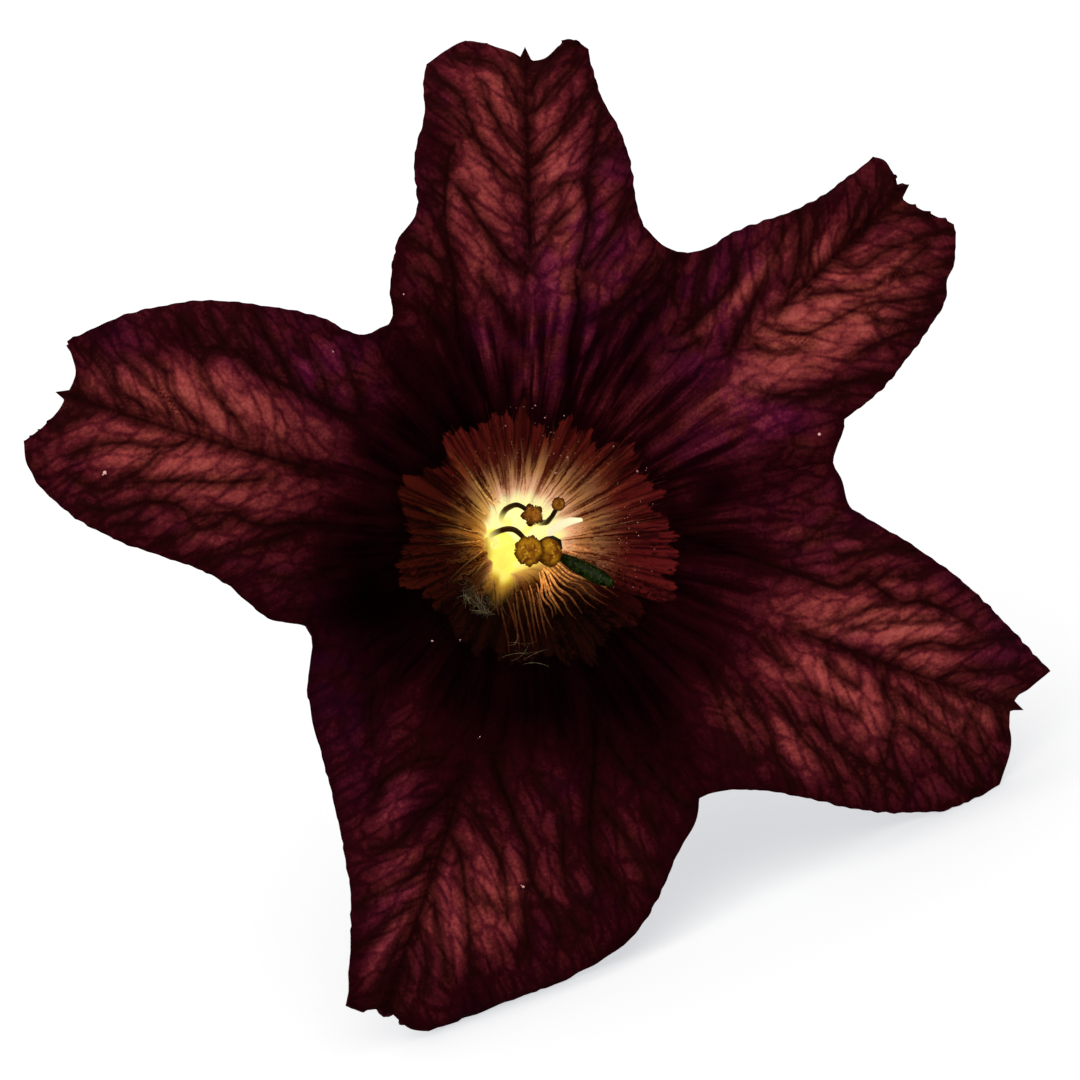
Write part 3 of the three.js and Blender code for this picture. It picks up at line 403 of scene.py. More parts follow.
# Pale grains on the face: plan place and radius
SPECKS = [
    (-9.1, 14.3, 0.06), (-13.5, 10.7, 0.06), (-27.4, 3.2, 0.13), (16.5, 5.7, 0.1), (-2.1, -22, 0.09),
    (-7, -6.9, 0.08), (-4.3, -12.9, 0.05), (-5.1, -6.8, 0.06), (-0.2, 8.1, 0.05), (0.5, 7.4, 0.05),
    (-2, 6.9, 0.05), (1.7, 7.5, 0.05), (2.3, 5.1, 0.09), (1.7, 4.2, 0.09), (4.9, 5.6, 0.05),
    (6.4, 4, 0.09), (4.7, -1.9, 0.07)]
# the finer pale grains below are painted glints, where the throat's wet ridges catch the light
GLINT_GRAINS = 70               # finer grains on the right and top of the throat
GOLD_DUST = 200         # the finest, golden ones near the mouth

# Bearing and lightness, from 0 to 1, of the dark foot of the lobes and of the limb further out. The
# lightness is partly the tissue's own tone and partly painted shade, darkest in the foot and towards
# the lower left.
BASE_LIGHT = [(13, 0.2), (44, 0.32), (64, 0.27), (93, 0.25), (130, 0.06), (165, 0.11), (200, 0.04),
              (250, 0.06), (298, 0.03), (318, 0.07), (339, 0.14)]
OUTER_LIGHT = [(13, 0.31), (44, 0.38), (64, 0.36), (93, 0.4), (130, 0.3), (165, 0.37), (200, 0.26),
               (250, 0.23), (298, 0.26), (339, 0.38)]

SIDE_SLANT = 36         # degrees at which the side veins leave the midvein
VEIN_REACH = 3.0        # how far off a vein still counts
VEIN_CORE = 0.19        # half width of a vein's dark middle
VEIN_SHADE = 0.5        # half width of the soft shade beside it
VEIN_FADE = 0.35        # share of a vein's strength that is lost on the way to its end
MIDVEIN = 0.8           # strength of the midveins

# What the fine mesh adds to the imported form, in millimetres
VEIN_PRESS = 0.12       # how deep the veins are pressed into the face
VEIN_WIDTH = 0.3        # half width of that furrow
TISSUE_SWELL = 0.22     # how far the tissue between them stands up
CRIMP = 0.1             # height of the fine waves along the free margin
NICKS = 0.035           # how far the line of the margin strays

# The fine mesh
COLUMNS = 80            # across a lobe
TUBE_ROWS = 10          # down the straight part of the tube
THROAT_ROWS = 56        # from there to LIMB_RADIUS
LIMB_ROWS = 110         # along a lobe
THROAT_FROM = -0.5      # where the tube begins to widen
WALL = 0.32             # of a lobe
TUBE_WALL = 0.5

STALK_ROUTE = [(0, 0, -51), (0, 0, -54.5), (0.2, 0.3, -58.3), (0.9, 1.6, -62), (2, 3.9, -65.4)]
STALK_RADII = [1.5, 1.1, 0.95, 0.95, 1]
PISTIL_ROUTE = [(0, 0, -48.9), (0, 0, -40), (0, 0, -32), (0, -0.3, -24), (0.3, -1, -18),
                (1.2, -1.2, -14.5)]
PISTIL_RADII = [0.6, 1.25, 1.3, 0.7, 0.35, 0.3, 0.28] + 10 * [0.26] + [0.3]
NECTAR_DISC = (1.88, 1.88, 0.4)     # half sizes
NECTAR_DISC_AT = (0, 0, -48.4)
STIGMA_ROUTE = [(1.65, -1.45, -13.9), (3.1, -2.3, -13), (4.7, -3.2, -12.2)]
STIGMA_RADII = [0.28, 0.42, 0.49, 0.51, 0.47, 0.26]
STAMINODE_ROUTE = [(2.2, -0.1, -23.4), (1.4, 0.2, -19), (1.5, 0.5, -17.2), (2.3, 0.9, -16.2),
                   (3.1, 1, -15.5)]
STAMINODE_RADII = [0.16, 0.17, 0.19, 0.21, 0.23, 0.25, 0.27, 0.28, 0.28, 0.25, 0.12]

# Each stamen's filament, its anther's middle, half sizes and finish, and how many scallops the
# anther's rim has and how deep
STAMENS = [
    ([(-1.2, 0, -32), (-1.4, 0.1, -27.5), (-2.1, 0.3, -23.2), (-1.7, 0.5, -19), (-1.2, 0.4, -16.3),
      (-0.8, -0.2, -13.9)],
     (-0.6, -1.12, -12.15), (0.9, 0.95, 0.5), "gold", (9, 0.08)),
    ([(0.3, -1.3, -32), (0.9, -1.2, -23), (0.75, -0.5, -18), (0.3, -0.55, -14), (0.75, -0.28, -12.9),
      (1.3, -0.38, -12.8), (1.52, -0.85, -13)],
     (0.8, -1.15, -12.95), (0.78, 0.97, 0.55), "gold", (3, 0.03)),
    ([(-0.4, 1.2, -32), (-0.6, 1.4, -27.5), (-1.4, 1.4, -23.5), (-1.5, 1.8, -19.5), (-1.1, 2, -16.5),
      (-0.75, 1.8, -15)],
     (-0.2, 1.25, -14), (0.65, 0.65, 0.5), "brown", (5, 0.2)),
    ([(0.85, 0.95, -32), (0.95, 1.2, -26), (1, 1, -19.5), (1.05, 0.95, -17.3), (1.25, 1.3, -15.6)],
     (1.5, 1.95, -14.3), (0.42, 0.42, 0.42), "brown", (4, 0.06)),
]
FILAMENT_RADII = [0.26, 0.24, 0.22, 0.2, 0.2, 0.18, 0.15]
ANTHER_GRAINS = 110

# An anther's dark and light colour, the colour of its specks and that of its rim, where it is painted shade
FINISHES = {
    "gold": ((118, 60, 2), (194, 132, 14), (208, 150, 34), (96, 44, 2)),
    "brown": ((118, 62, 10), (180, 108, 26), (190, 122, 46), (92, 46, 8)),
}

# The calyx
CALYX_INNER = 2.9       # inner radius at the mouth
CALYX_BELLY = 3.3       # and where it is widest
CALYX_WALL = 0.7
CALYX_FLOOR = -50
CALYX_GAP = -41         # height of the gaps between its teeth
CALYX_TOOTH = 6.5
CALYX_FLARE = 0.8       # how far the teeth stand off at their tips
CALYX_COLUMNS = 160
CALYX_ROWS = (22, 20)   # in the bowl and in the teeth

# How many hairs stand on each, their least and greatest length and half their thickness
TUBE_HAIRS = (900, 0.35, 0.8, 0.022)
CALYX_HAIRS = (900, 0.5, 1.1, 0.03)
STALK_HAIRS = (420, 0.4, 0.9, 0.03)

# The camera looks almost down the flower's axis from DISTANCE away
LOOK_FROM = (-0.09, -0.04, 1.0)
DISTANCE = 300.0
PIXELS_PER_MM = 16.4    # at the middle of the flower, in the photograph
AXIS_PIXEL = (556, 525)
PICTURE = 1080
SENSOR = 36.0

# The surface, and the light: place, size and power of each softbox, in metres and watts
FLOOR_GAP = 0.03        # the lowest any point of the flower comes, in millimetres
FLOOR_HALF = 4.0
FLOOR_COLOUR = (0.36, 0.35, 0.33, 1)
FLOOR_GLOW = (0.53, 0.544, 0.573, 1)
WORLD_LIGHT = 0.75
SOFTBOXES = {
    "softbox_above": ((-0.08, 0, 0.5), 1.2, 3.9),
    "softbox_small": ((-0.16, 0.14, 0.5), 0.3, 0.75),
}
SOFTBOX_AIM = (0, 0, 0.02)


# Small helpers

def smooth(value, start, end):
    """0 before start, 1 past end, and a smooth way between."""
    share = np.clip((value - start) / (end - start), 0, 1)
    return share * share * (3 - 2 * share)


def unit(vectors):
    return vectors / np.linalg.norm(vectors, axis=-1, keepdims=True)


def polar(degrees, radius):
    angle = np.radians(degrees)
    return np.stack([radius * np.cos(angle), radius * np.sin(angle)], -1)


def turned(points, degrees):
    """Points given along and across a line on that bearing, seen along the flower's axis."""
    x, y = np.moveaxis(np.asarray(points, float), -1, 0)
    c, s = math.cos(math.radians(degrees)), math.sin(math.radians(degrees))
    return np.stack([x * c - y * s, x * s + y * c], -1)


def spline(points, share):
    """A smooth curve through the points, by share of the way from point to point."""
    points = np.asarray(points, float)
    at = np.clip(np.asarray(share, float), 0, 1) * (len(points) - 1)
    i = np.minimum(np.floor(at).astype(int), len(points) - 2)
    w = (at - i)[..., None]
    a, b = points[i], points[i + 1]
    before = points[np.maximum(i - 1, 0)]
    after = points[np.minimum(i + 2, len(points) - 1)]
    u, v = (b - before) / 2, (after - a) / 2
    return (2 * a - 2 * b + u + v) * w ** 3 + (3 * b - 3 * a - 2 * u - v) * w ** 2 + u * w + a


def even_spline(points, share, samples=400):
    """The same curve by share of its length."""
    steps = np.linspace(0, 1, samples + 1)
    drawn = spline(points, steps)
    length = np.concatenate([[0], np.cumsum(np.linalg.norm(np.diff(drawn, axis=0), axis=1))])
    return spline(points, np.interp(share, length / length[-1], steps))


def evenly(values, count):
    """That many values, evenly along a list of fewer."""
    return np.interp(np.linspace(0, 1, count), np.linspace(0, 1, len(values)), values)


def round_list(degrees, pairs):
    """A value given at some bearings, at any bearing."""
    return np.interp(degrees % 360, *zip(*pairs), period=360)


# The flower's frame in the world: the first anther's middle is a point known in both
turn_matrix = np.array(
    Matrix.Rotation(math.radians(90 - AXIS_RISE), 3, "X") @ Matrix.Rotation(math.radians(ROLL), 3, "Z"))
low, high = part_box("anther_1")
shift = np.array((low + high) / 2) - turn_matrix @ np.array(STAMENS[0][1]) * MM


def to_world(points):
    """Points of the flower's frame as metres in the world."""
    return np.asarray(points, float) @ turn_matrix.T * MM + shift


# The corolla's form

# The profile above the narrow tube, where its radius grows all the way
profile_steps = spline(PROFILE, np.linspace(0, 1, 3000))
profile_steps = profile_steps[profile_steps[:, 0] > 2.6]


def profile_height(radius):
    """Height of the open face at that distance from the axis, before any wave."""
    return np.interp(radius, profile_steps[:, 0], profile_steps[:, 1])


def edge_of(lobe, side, t):
    """A lobe's edge on one side, at each t."""
    degrees, radius = SINUS[lobe[side + "Gap"]]
    start, sinus = polar(degrees, LIMB_RADIUS), polar(degrees, radius)
    joined = start + (sinus - start) * np.clip(t / SINUS_AT, 0, 1)[..., None]
    margin = np.concatenate([[sinus], turned(lobe[side], lobe["bearing"])])
    free = even_spline(margin, np.clip((t - SINUS_AT) / (1 - SINUS_AT), 0, 1))
    return np.where((t <= SINUS_AT)[..., None], joined, free)


def turn_to_edge(lobe, side):
    """Degrees from a lobe's midvein to its edge at the throat."""
    return (SINUS[lobe[side + "Gap"]][0] - lobe["bearing"] + 180) % 360 - 180


def tip_of(lobe, side, width):
    """The end of a lobe, from the notch out to its margin."""
    outline = [lobe["notch"], *lobe[side + "Tip"], lobe[side][-1]]
    return even_spline(turned(outline, lobe["bearing"]), width)


def middle_of(lobe, t):
    """Points of a lobe's midvein, from LIMB_RADIUS at t = 0 to the notch at t = 1."""
    along = LIMB_RADIUS + (lobe["notch"][0] - LIMB_RADIUS) * t
    across = lobe["notch"][1] * t + lobe["bow"] * 4 * t * (1 - t)
    return turned(np.stack([along, across], -1), lobe["bearing"])


def vein_lines():
    """Every vein of the flower as its strength and its points, seen along the axis."""
    lines = []
    for lobe in LOBES.values():
        lines.append((MIDVEIN, middle_of(lobe, np.linspace(lobe["veinFrom"], 1, 24))))
        for strength, points in lobe["veins"]:
            share = np.linspace(0, 1, 3 * len(points))
            lines.append((strength, turned(spline(points, share), lobe["bearing"])))
    return lines


def vein_fields(plan):
    """The shade and the strength of the nearest vein, and how far off it is, plain and with its side."""
    flat = plan.reshape(-1, 2)
    shade = np.zeros(len(flat))
    force = np.zeros(len(flat))
    gap = np.full(len(flat), VEIN_REACH)
    side = np.ones(len(flat))
    for strength, line in vein_lines():
        close = np.all((flat > line.min(0) - VEIN_REACH) & (flat < line.max(0) + VEIN_REACH), axis=1)
        near = flat[close]
        nearest = np.full(len(near), VEIN_REACH)
        share = np.zeros(len(near))
        turn = np.ones(len(near))
        for i, (a, b) in enumerate(zip(line[:-1], line[1:])):
            way = b - a
            along = np.clip(((near - a) @ way) / max(way @ way, 1e-9), 0, 1)
            off = near - a - along[:, None] * way
            far = np.linalg.norm(off, axis=1)
            nearer = far < nearest
            share = np.where(nearer, (i + along) / (len(line) - 1), share)
            turn = np.where(nearer, np.sign(way[0] * off[:, 1] - way[1] * off[:, 0]), turn)
            nearest = np.minimum(nearest, far)
        strong = strength * (1 - VEIN_FADE * share) * smooth(share, -0.06, 0.14)
        shade[close] = np.maximum(shade[close], strong * np.exp(-(nearest / VEIN_SHADE) ** 2))
        nearer = nearest < gap[close]
        force[close] = np.where(nearer, strong, force[close])
        side[close] = np.where(nearer, turn, side[close])
        gap[close] = np.minimum(gap[close], nearest)
    return [value.reshape(plan.shape[:-1]) for value in (shade, force, gap, gap * side)]


def patch(plan, lobe, along, across, length, width, slant=0):
    """A soft spot on a lobe: 1 in its middle, falling away past its half length and half width."""
    off = turned(plan - turned((along, across), lobe["bearing"]), -lobe["bearing"] - slant)
    return np.exp(-(off[..., 0] / length) ** 2 - (off[..., 1] / width) ** 2)


def tones(plan, degrees, radius):
    """How light the tissue is, partly its own tone and partly painted light and shade, and how
    plum-coloured it is.
    """
    # painted shade: the foot of the lobes darker, most towards the lower left, easing out to the limb
    base = round_list(degrees, BASE_LIGHT)
    light = base + (round_list(degrees, OUTER_LIGHT) - base) * smooth(radius, 11, 18)
    plum = np.zeros_like(light)
    for lobe in LOBES.values():
        # the lit patches: painted light, and painted shade where their gain is below 0
        for *spot, gain in lobe["lit"]:
            light = light + gain * patch(plan, lobe, *spot)
        for along, across, size, gain in lobe["plum"]:
            plum = plum + gain * patch(plan, lobe, along, across, size, size)
    return light, plum


def run_of_net(along, off):
    """Place along and across the run of the side veins, which bend out from the midvein."""
    steps = np.linspace(0, 40, 401)
    drift = np.cumsum(np.tan(np.radians(SIDE_SLANT * smooth(steps, 8, 21)))) * steps[1]
    return along * 1.15, off - np.interp(along, steps, drift)


def limb_plan(lobe, s, t):
    """A lobe seen along the axis.

    Gives its points, how far and which way its edge lies from its middle, the bearing at which each
    point's line starts at the throat, and the turn from the midvein to the edge there."""
    width = np.abs(s)
    left = (s < 0)[..., None]

    def straight(at):
        base = middle_of(lobe, at)
        reach = np.where(left, *[edge_of(lobe, side, at) for side in SIDES]) - base
        return base + reach * width[..., None], reach

    turn = np.where(s < 0, *[turn_to_edge(lobe, side) for side in SIDES])
    bearing = lobe["bearing"] + width * turn
    foot = polar(bearing, LIMB_RADIUS) - straight(np.zeros_like(t))[0]
    tip = np.where(left, *[tip_of(lobe, side, width) for side in SIDES]) - straight(np.ones_like(t))[0]
    plan, reach = straight(t)
    plan = plan + foot * ((1 - t) ** 2)[..., None]
    plan = plan + tip * (np.maximum((t - TIP_FROM) / (1 - TIP_FROM), 0) ** 2)[..., None]
    return plan, reach, bearing, turn


def tube_rings(t):
    """The tube and the throat from t = -1 at the foot: radius and height, and the way out of the wall."""
    at = LIMB_POINT / (len(PROFILE) - 1) * (1 + np.minimum(t, 0))
    tangent = unit(spline(PROFILE, at + 1e-4) - spline(PROFILE, at - 1e-4))
    return spline(PROFILE, at), np.stack([-tangent[..., 1], tangent[..., 0]], -1)


def packed_lift(lobe, s, t, half, bearing):
    """Furrows, valleys, swelling and waves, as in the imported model."""
    width = np.abs(s)
    across = width * half
    inside = 1 - smooth(width, 0.85, 1)
    taper = inside * (1 - 0.5 * smooth(t, 0.8, 1))
    lift = -VEIN_DEPTH * np.exp(-((across / FURROW_WIDTH) ** 2)) * smooth(t, 0, 0.5) * taper
    for start, end, depth in lobe["folds"]:
        off = (s - (start + (end - start) * t)) * half
        lift = lift - depth * np.exp(-off ** 2) * inside * smooth(t, -0.1, 0.2) * (1 - smooth(t, 0.6, 0.95))
    joined = 1 - smooth(t, SINUS_AT * 0.55, SINUS_AT * 1.25)
    valley = np.exp(-(((half - across) / VALLEY_WIDTH) ** 2))
    lift = lift - VALLEY_DEPTH * valley * smooth(t, -0.25, 0.2) * joined
    swell = 1 - (2 * width - 1) ** 2
    lift = lift + PANEL_RISE * swell * smooth(t, -0.3, 0.35) * (1 - smooth(t, 0.75, 1.05))
    height, number, phase = lobe["waves"]
    wave = np.sin(2 * math.pi * (number * t + phase * 0.16 + np.where(s < 0, 0.37, 0)))
    lift = lift + height * width ** 2 * wave * smooth(t, SINUS_AT, 0.75)
    rib = np.cos(np.radians(bearing) * THROAT_FOLDS)
    return lift + THROAT_RIB * rib * smooth(t, -0.75, -0.4) * (1 - smooth(t, -0.25, 0.05))


def lobe_points(lobe, s, t):
    """The inner face of one lobe and its share of the tube, and what its materials need.

    s runs across from -1 to 1 and t along from -1 at the tube's foot to 1 at the tip."""
    s, t = np.broadcast_arrays(s, t)
    width = np.abs(s)
    plan, reach, bearing, turn = limb_plan(lobe, s, np.maximum(t, 0))
    half = np.linalg.norm(reach, axis=-1)
    aside = reach / (half + 1e-6)[..., None]
    radius = np.linalg.norm(plan, axis=-1)
    rise = (profile_height(radius + 0.05) - profile_height(radius - 0.05)) / 0.1
    slope = np.stack([-rise, np.ones_like(t)], -1) / np.hypot(rise, 1)[..., None]
    z = profile_height(radius)

    ring, wall_slope = tube_rings(t)
    below = t < 0
    plan = np.where(below[..., None], polar(bearing, ring[..., 0]), plan)
    z = np.where(below, ring[..., 1], z)
    slope = np.where(below[..., None], wall_slope, slope)
    half = np.where(below, ring[..., 0] * np.radians(np.abs(turn)), half)

    lift = packed_lift(lobe, s, t, half, bearing)
    free = np.clip((t - SINUS_AT) / (1 - SINUS_AT), 0, 1)
    across = width * half
    z = z - lobe["recurve"] * free ** 2 + lobe["cup"] * (across / 8) ** 2 * smooth(t, SINUS_AT, 0.9)

    # veins pressed into the face, and the tissue between them swollen
    shade, force, gap, signed_gap = vein_fields(plan)
    on_limb = smooth(t, 0, 0.2)
    lift = lift - VEIN_PRESS * force * np.exp(-(gap / VEIN_WIDTH) ** 2) * on_limb
    inside = 1 - smooth(width, 0.85, 1)
    swollen = smooth(gap, 0.1, 1.3) * inside
    lift = lift + TISSUE_SWELL * swollen * on_limb * (1 - 0.5 * smooth(t, 0.85, 1))

    # the free margin is finely crimped, and its line a little uneven
    rim = np.minimum(half - across + 9 * (1 - smooth(t, 0.2, SINUS_AT)), (1 - t) * 20)
    on_margin = smooth(t, SINUS_AT, 0.5)
    crimp = np.sin(9.5 * radius + 3 * np.sin(2.3 * radius + lobe["bearing"])) * np.exp(-(rim / 0.9) ** 2)
    lift = lift + CRIMP * crimp * on_margin
    nick = np.sin(4.1 * radius + 2 * np.sin(1.7 * radius + lobe["bearing"]))
    nick = nick + 0.7 * np.sin(7.9 * radius + 3 * s)
    nick = NICKS * nick * np.exp(-(rim / 0.7) ** 2) * on_margin * (width > 0.5)
    plan = plan + aside * nick[..., None]

    out = unit(plan)
    place = np.concatenate([plan + out * (slope[..., 0] * lift)[..., None],
                            (z + slope[..., 1] * lift)[..., None]], -1)

    # the midvein runs out into a short point in the notch
    spike = lobe["mucro"] * smooth(t, 0.955, 1) * np.clip(1 - across / 0.32, 0, 1)
    place[..., :2] += turned((1, 0), lobe["bearing"]) * spike[..., None]

    radius = np.linalg.norm(plan, axis=-1)
    degrees = np.degrees(np.arctan2(plan[..., 1], plan[..., 0]))
    light, plum = tones(plan, degrees, radius)
    along_net, across_net = run_of_net(turned(plan, -lobe["bearing"])[..., 0], across)
    values = {
        "home": np.moveaxis(place, -1, 0),
        "leaf": (across * np.sign(s), np.minimum(rim, 20), t),
        "vein": (shade, gap, signed_gap),
        "net": (along_net, across_net, force),
        "tone": (light, plum, np.zeros_like(t)),
        "ray": (out[..., 0], out[..., 1], radius),
        "zone": (radius - round_list(degrees, GOLD_BORDER), radius / round_list(degrees, GLOW_REACH),
                 radius / round_list(degrees, STREAK_REACH)),
    }
    return {name: np.stack(value, -1) for name, value in values.items()}


def corolla_arrays():
    """Every point of the face with its material values, numbered so that joined edges are shared."""
    joined_rows = int(LIMB_ROWS * SINUS_AT / 2) * 2
    t = np.concatenate([
        np.linspace(-1, THROAT_FROM, TUBE_ROWS, endpoint=False),
        np.linspace(THROAT_FROM, 0, THROAT_ROWS, endpoint=False),
        np.linspace(0, SINUS_AT, joined_rows, endpoint=False),
        np.linspace(SINUS_AT, 1, LIMB_ROWS - joined_rows + 1),
    ])
    s = np.linspace(-1, 1, COLUMNS + 1)
    lobes = [lobe_points(lobe, s[None, :], t[:, None]) for lobe in LOBES.values()]
    number = np.arange(len(lobes) * t.size * s.size).reshape(len(lobes), t.size, s.size)
    sinus_row = int(np.argmin(np.abs(t - SINUS_AT)))
    for k in range(len(lobes)):
        number[(k + 1) % len(lobes), :sinus_row + 1, 0] = number[k, :sinus_row + 1, -1]
    kept, index = np.unique(number, return_inverse=True)
    values = {name: np.concatenate([lobe[name].reshape(-1, 3) for lobe in lobes])[kept]
              for name in lobes[0]}
    return values, index.reshape(number.shape), sinus_row


def face_normals(points, quads):
    a, b, c, d = (points[quads[:, i]] for i in range(4))
    flat = np.cross(c - a, d - b)
    normals = np.zeros_like(points)
    for i in range(4):
        np.add.at(normals, quads[:, i], flat)
    return unit(normals)


def quads_of(index, step=1):
    """Quads between every step-th row and column of each lobe's points."""
    a = index[:, :-1:step, :-1:step]
    b = index[:, step::step, :-1:step]
    c = index[:, step::step, step::step]
    d = index[:, :-1:step, step::step]
    return np.stack([a, b, c, d], -1).reshape(-1, 4)


def make_corolla():
    """The corolla. Gives its face to cast rays on, and the outside of the tube with the way out of it."""
    values, index, sinus_row = corolla_arrays()
    place = values["home"]
    front = quads_of(index)
    normals = face_normals(place, front)
    wall = WALL + (TUBE_WALL - WALL) * (1 - smooth(values["leaf"][:, 2], -0.5, 0.1))
    back_place = place - normals * wall[:, None]

    # the back uses every second row and column
    coarse = quads_of(index, 2)
    used, coarse_index = np.unique(coarse, return_inverse=True)
    coarse_index = coarse_index.reshape(coarse.shape)
    behind = np.full(len(place), -1)
    behind[used] = len(place) + np.arange(len(used))
    faces = [tuple(quad) for quad in front.tolist()]
    faces += [tuple(quad) for quad in (coarse_index[:, ::-1] + len(place)).tolist()]

    def rim(line, outward):
        for i in range(0, len(line) - 1, 2):
            a, b, c = line[i:i + 3]
            loop = (a, b, c, behind[c], behind[a]) if outward else (c, b, a, behind[a], behind[c])
            faces.append(tuple(int(v) for v in loop))

    for lobe in index:
        rim(lobe[sinus_row:, -1], True)
        rim(lobe[sinus_row:, 0], False)
        rim(lobe[-1, :], False)
        rim(lobe[0, :], True)

    points = np.concatenate([place, back_place[used]])
    mesh = add_piece("corolla_fine", (points, faces), petal_material(), "petal", "corolla")
    for name, value in values.items():
        put_values(mesh, name, np.concatenate([value, value[used]]))
    put_values(mesh, "back", np.repeat([0, 1], [len(place), len(used)]))
    tube = values["leaf"][used, 2] < -0.1
    return (BVHTree.FromPolygons(place.tolist(), front.tolist()),
            back_place[used][tube], -normals[used][tube])


def on_face(tree, plan, lift=0.0):
    """Points of the open face under plan points, raised by lift off the surface."""
    found = []
    for x, y in np.asarray(plan, float):
        place, normal, _, _ = tree.ray_cast(Vector((x, y, 20)), Vector((0, 0, -1)))
        up = normal if normal.z > 0 else -normal
        found.append(place + up * lift)
    return np.array(found)


def put_values(mesh, name, values):
    """Gives each point of a mesh what its material needs there, three numbers or one."""
    values = np.asarray(values, np.float32)
    if values.ndim == 1:
        values = np.repeat(values[:, None], 3, axis=1)
    attribute = mesh.attributes.get(name) or mesh.attributes.new(name, "FLOAT_VECTOR", "POINT")
    attribute.data.foreach_set("vector", values.ravel())


def add_piece(name, shape, material, slot, *replaced):
    """One piece of the flower, from its points in the flower's frame and its faces."""
    points, faces = shape
    places = to_world(points)
    places[:, 2] = np.maximum(places[:, 2], FLOOR_GAP * MM)
    mesh = bpy.data.meshes.new(name)
    mesh.from_pydata(places.tolist(), [], faces)
    mesh.polygons.foreach_set("use_smooth", [True] * len(mesh.polygons))
    mesh.materials.append(material)
    mesh.update()
    put_values(mesh, "home", points)
    piece = bpy.data.objects.new(name, mesh)
    bpy.context.scene.collection.objects.link(piece)
    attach(piece, "root")
    if replaced:
        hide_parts(*replaced)
    return mesh


# Materials

def linear(*colour):
    """A colour as the eye reads it, 0 to 255, made linear."""
    made = [v / 255 / 12.92 if v <= 10 else ((v / 255 + 0.055) / 1.055) ** 2.4 for v in colour]
    return (*made, 1)


class Value:
    """What a material works out at each point. Sums and products of it make the nodes for them."""

    def __init__(self, shader, socket):
        self.shader = shader
        self.socket = socket

    def __add__(self, other):
        return self.shader.math("ADD", self, other)

    def __sub__(self, other):
        return self.shader.math("SUBTRACT", self, other)

    def __rsub__(self, other):
        return self.shader.math("SUBTRACT", other, self)

    def __mul__(self, other):
        return self.shader.math("MULTIPLY", self, other)

    def most(self, other, clamp=False):
        return self.shader.math("MAXIMUM", self, other, clamp=clamp)

    def step(self, start, end, low=0.0, high=1.0):
        """low before start, high past end, and a smooth way between."""
        inputs = {"Value": self, "From Min": start, "From Max": end, "To Min": low, "To Max": high}
        return self.shader.node("MapRange", inputs, interpolation_type="SMOOTHSTEP")

    def bell(self, width):
        """1 where the value is 0, falling to nothing past width on either side."""
        share = self.shader.math("DIVIDE", self, width)
        return self.shader.math("EXPONENT", share * share * -1.0)

    def parts(self):
        made = self.shader.make("SeparateXYZ", {"Vector": self})
        return [Value(self.shader, socket) for socket in made.outputs]

    def shifted(self, *offset):
        return self.shader.node("VectorMath", {0: self, 1: offset}, operation="ADD")

    def scaled(self, size):
        return self.shader.node("VectorMath", {0: self, "Scale": size}, operation="SCALE")

    def noise(self, scale, detail, roughness=0.5):
        inputs = {"Vector": self, "Scale": scale, "Detail": detail, "Roughness": roughness}
        return self.shader.node("TexNoise", inputs)

    def cells(self, feature="DISTANCE_TO_EDGE", output="Distance"):
        inputs = {"Vector": self, "Scale": 1.0}
        return self.shader.node("TexVoronoi", inputs, output, voronoi_dimensions="2D", feature=feature)

    def ramp(self, *colours):
        """Evenly spaced colours along the value from 0 to 1."""
        made = self.shader.make("ValToRGB", {"Fac": self})
        elements = made.color_ramp.elements
        while len(elements) < len(colours):
            elements.new(0.5)
        for i, colour in enumerate(colours):
            elements[i].position = i / (len(colours) - 1)
            elements[i].color = linear(*colour)
        return Value(self.shader, made.outputs["Color"])

    def bump(self, distance, strength):
        return self.shader.node("Bump", {"Height": self, "Distance": distance, "Strength": strength})


class Shader:
    """Builds one material's nodes. A colour is three numbers from 0 to 255, or four linear ones."""

    def __init__(self, name, roughness, shine):
        self.material = bpy.data.materials.new(name)
        # What glows here is faint and lights little around it, so it isn't sampled as a lamp
        self.material.cycles.emission_sampling = "NONE"
        self.material.use_nodes = True
        self.tree = self.material.node_tree
        self.set("Roughness", roughness)
        self.set("Specular IOR Level", shine)

    def set(self, name, value):
        self.feed(self.tree.nodes["Principled BSDF"].inputs[name], value)

    def feed(self, socket, value):
        if isinstance(value, Value):
            self.tree.links.new(value.socket, socket)
        elif socket.type == "RGBA" and len(value) == 3:
            socket.default_value = linear(*value)
        else:
            socket.default_value = value

    def make(self, kind, inputs, **settings):
        made = self.tree.nodes.new("ShaderNode" + kind)
        for name, value in settings.items():
            setattr(made, name, value)
        for name, value in inputs.items():
            self.feed(made.inputs[name], value)
        return made

    def node(self, kind, inputs, output=0, **settings):
        return Value(self, self.make(kind, inputs, **settings).outputs[output])

    def attribute(self, name):
        return self.node("Attribute", {}, "Vector", attribute_name=name)

    def join(self, x, y, z=0.0):
        return self.node("CombineXYZ", {"X": x, "Y": y, "Z": z})

    def math(self, operation, *values, clamp=False):
        return self.node("Math", dict(enumerate(values)), operation=operation, use_clamp=clamp)

    def mix(self, a, b, share):
        return self.node("Mix", {"Factor": share, 6: a, 7: b}, 2, data_type="RGBA")


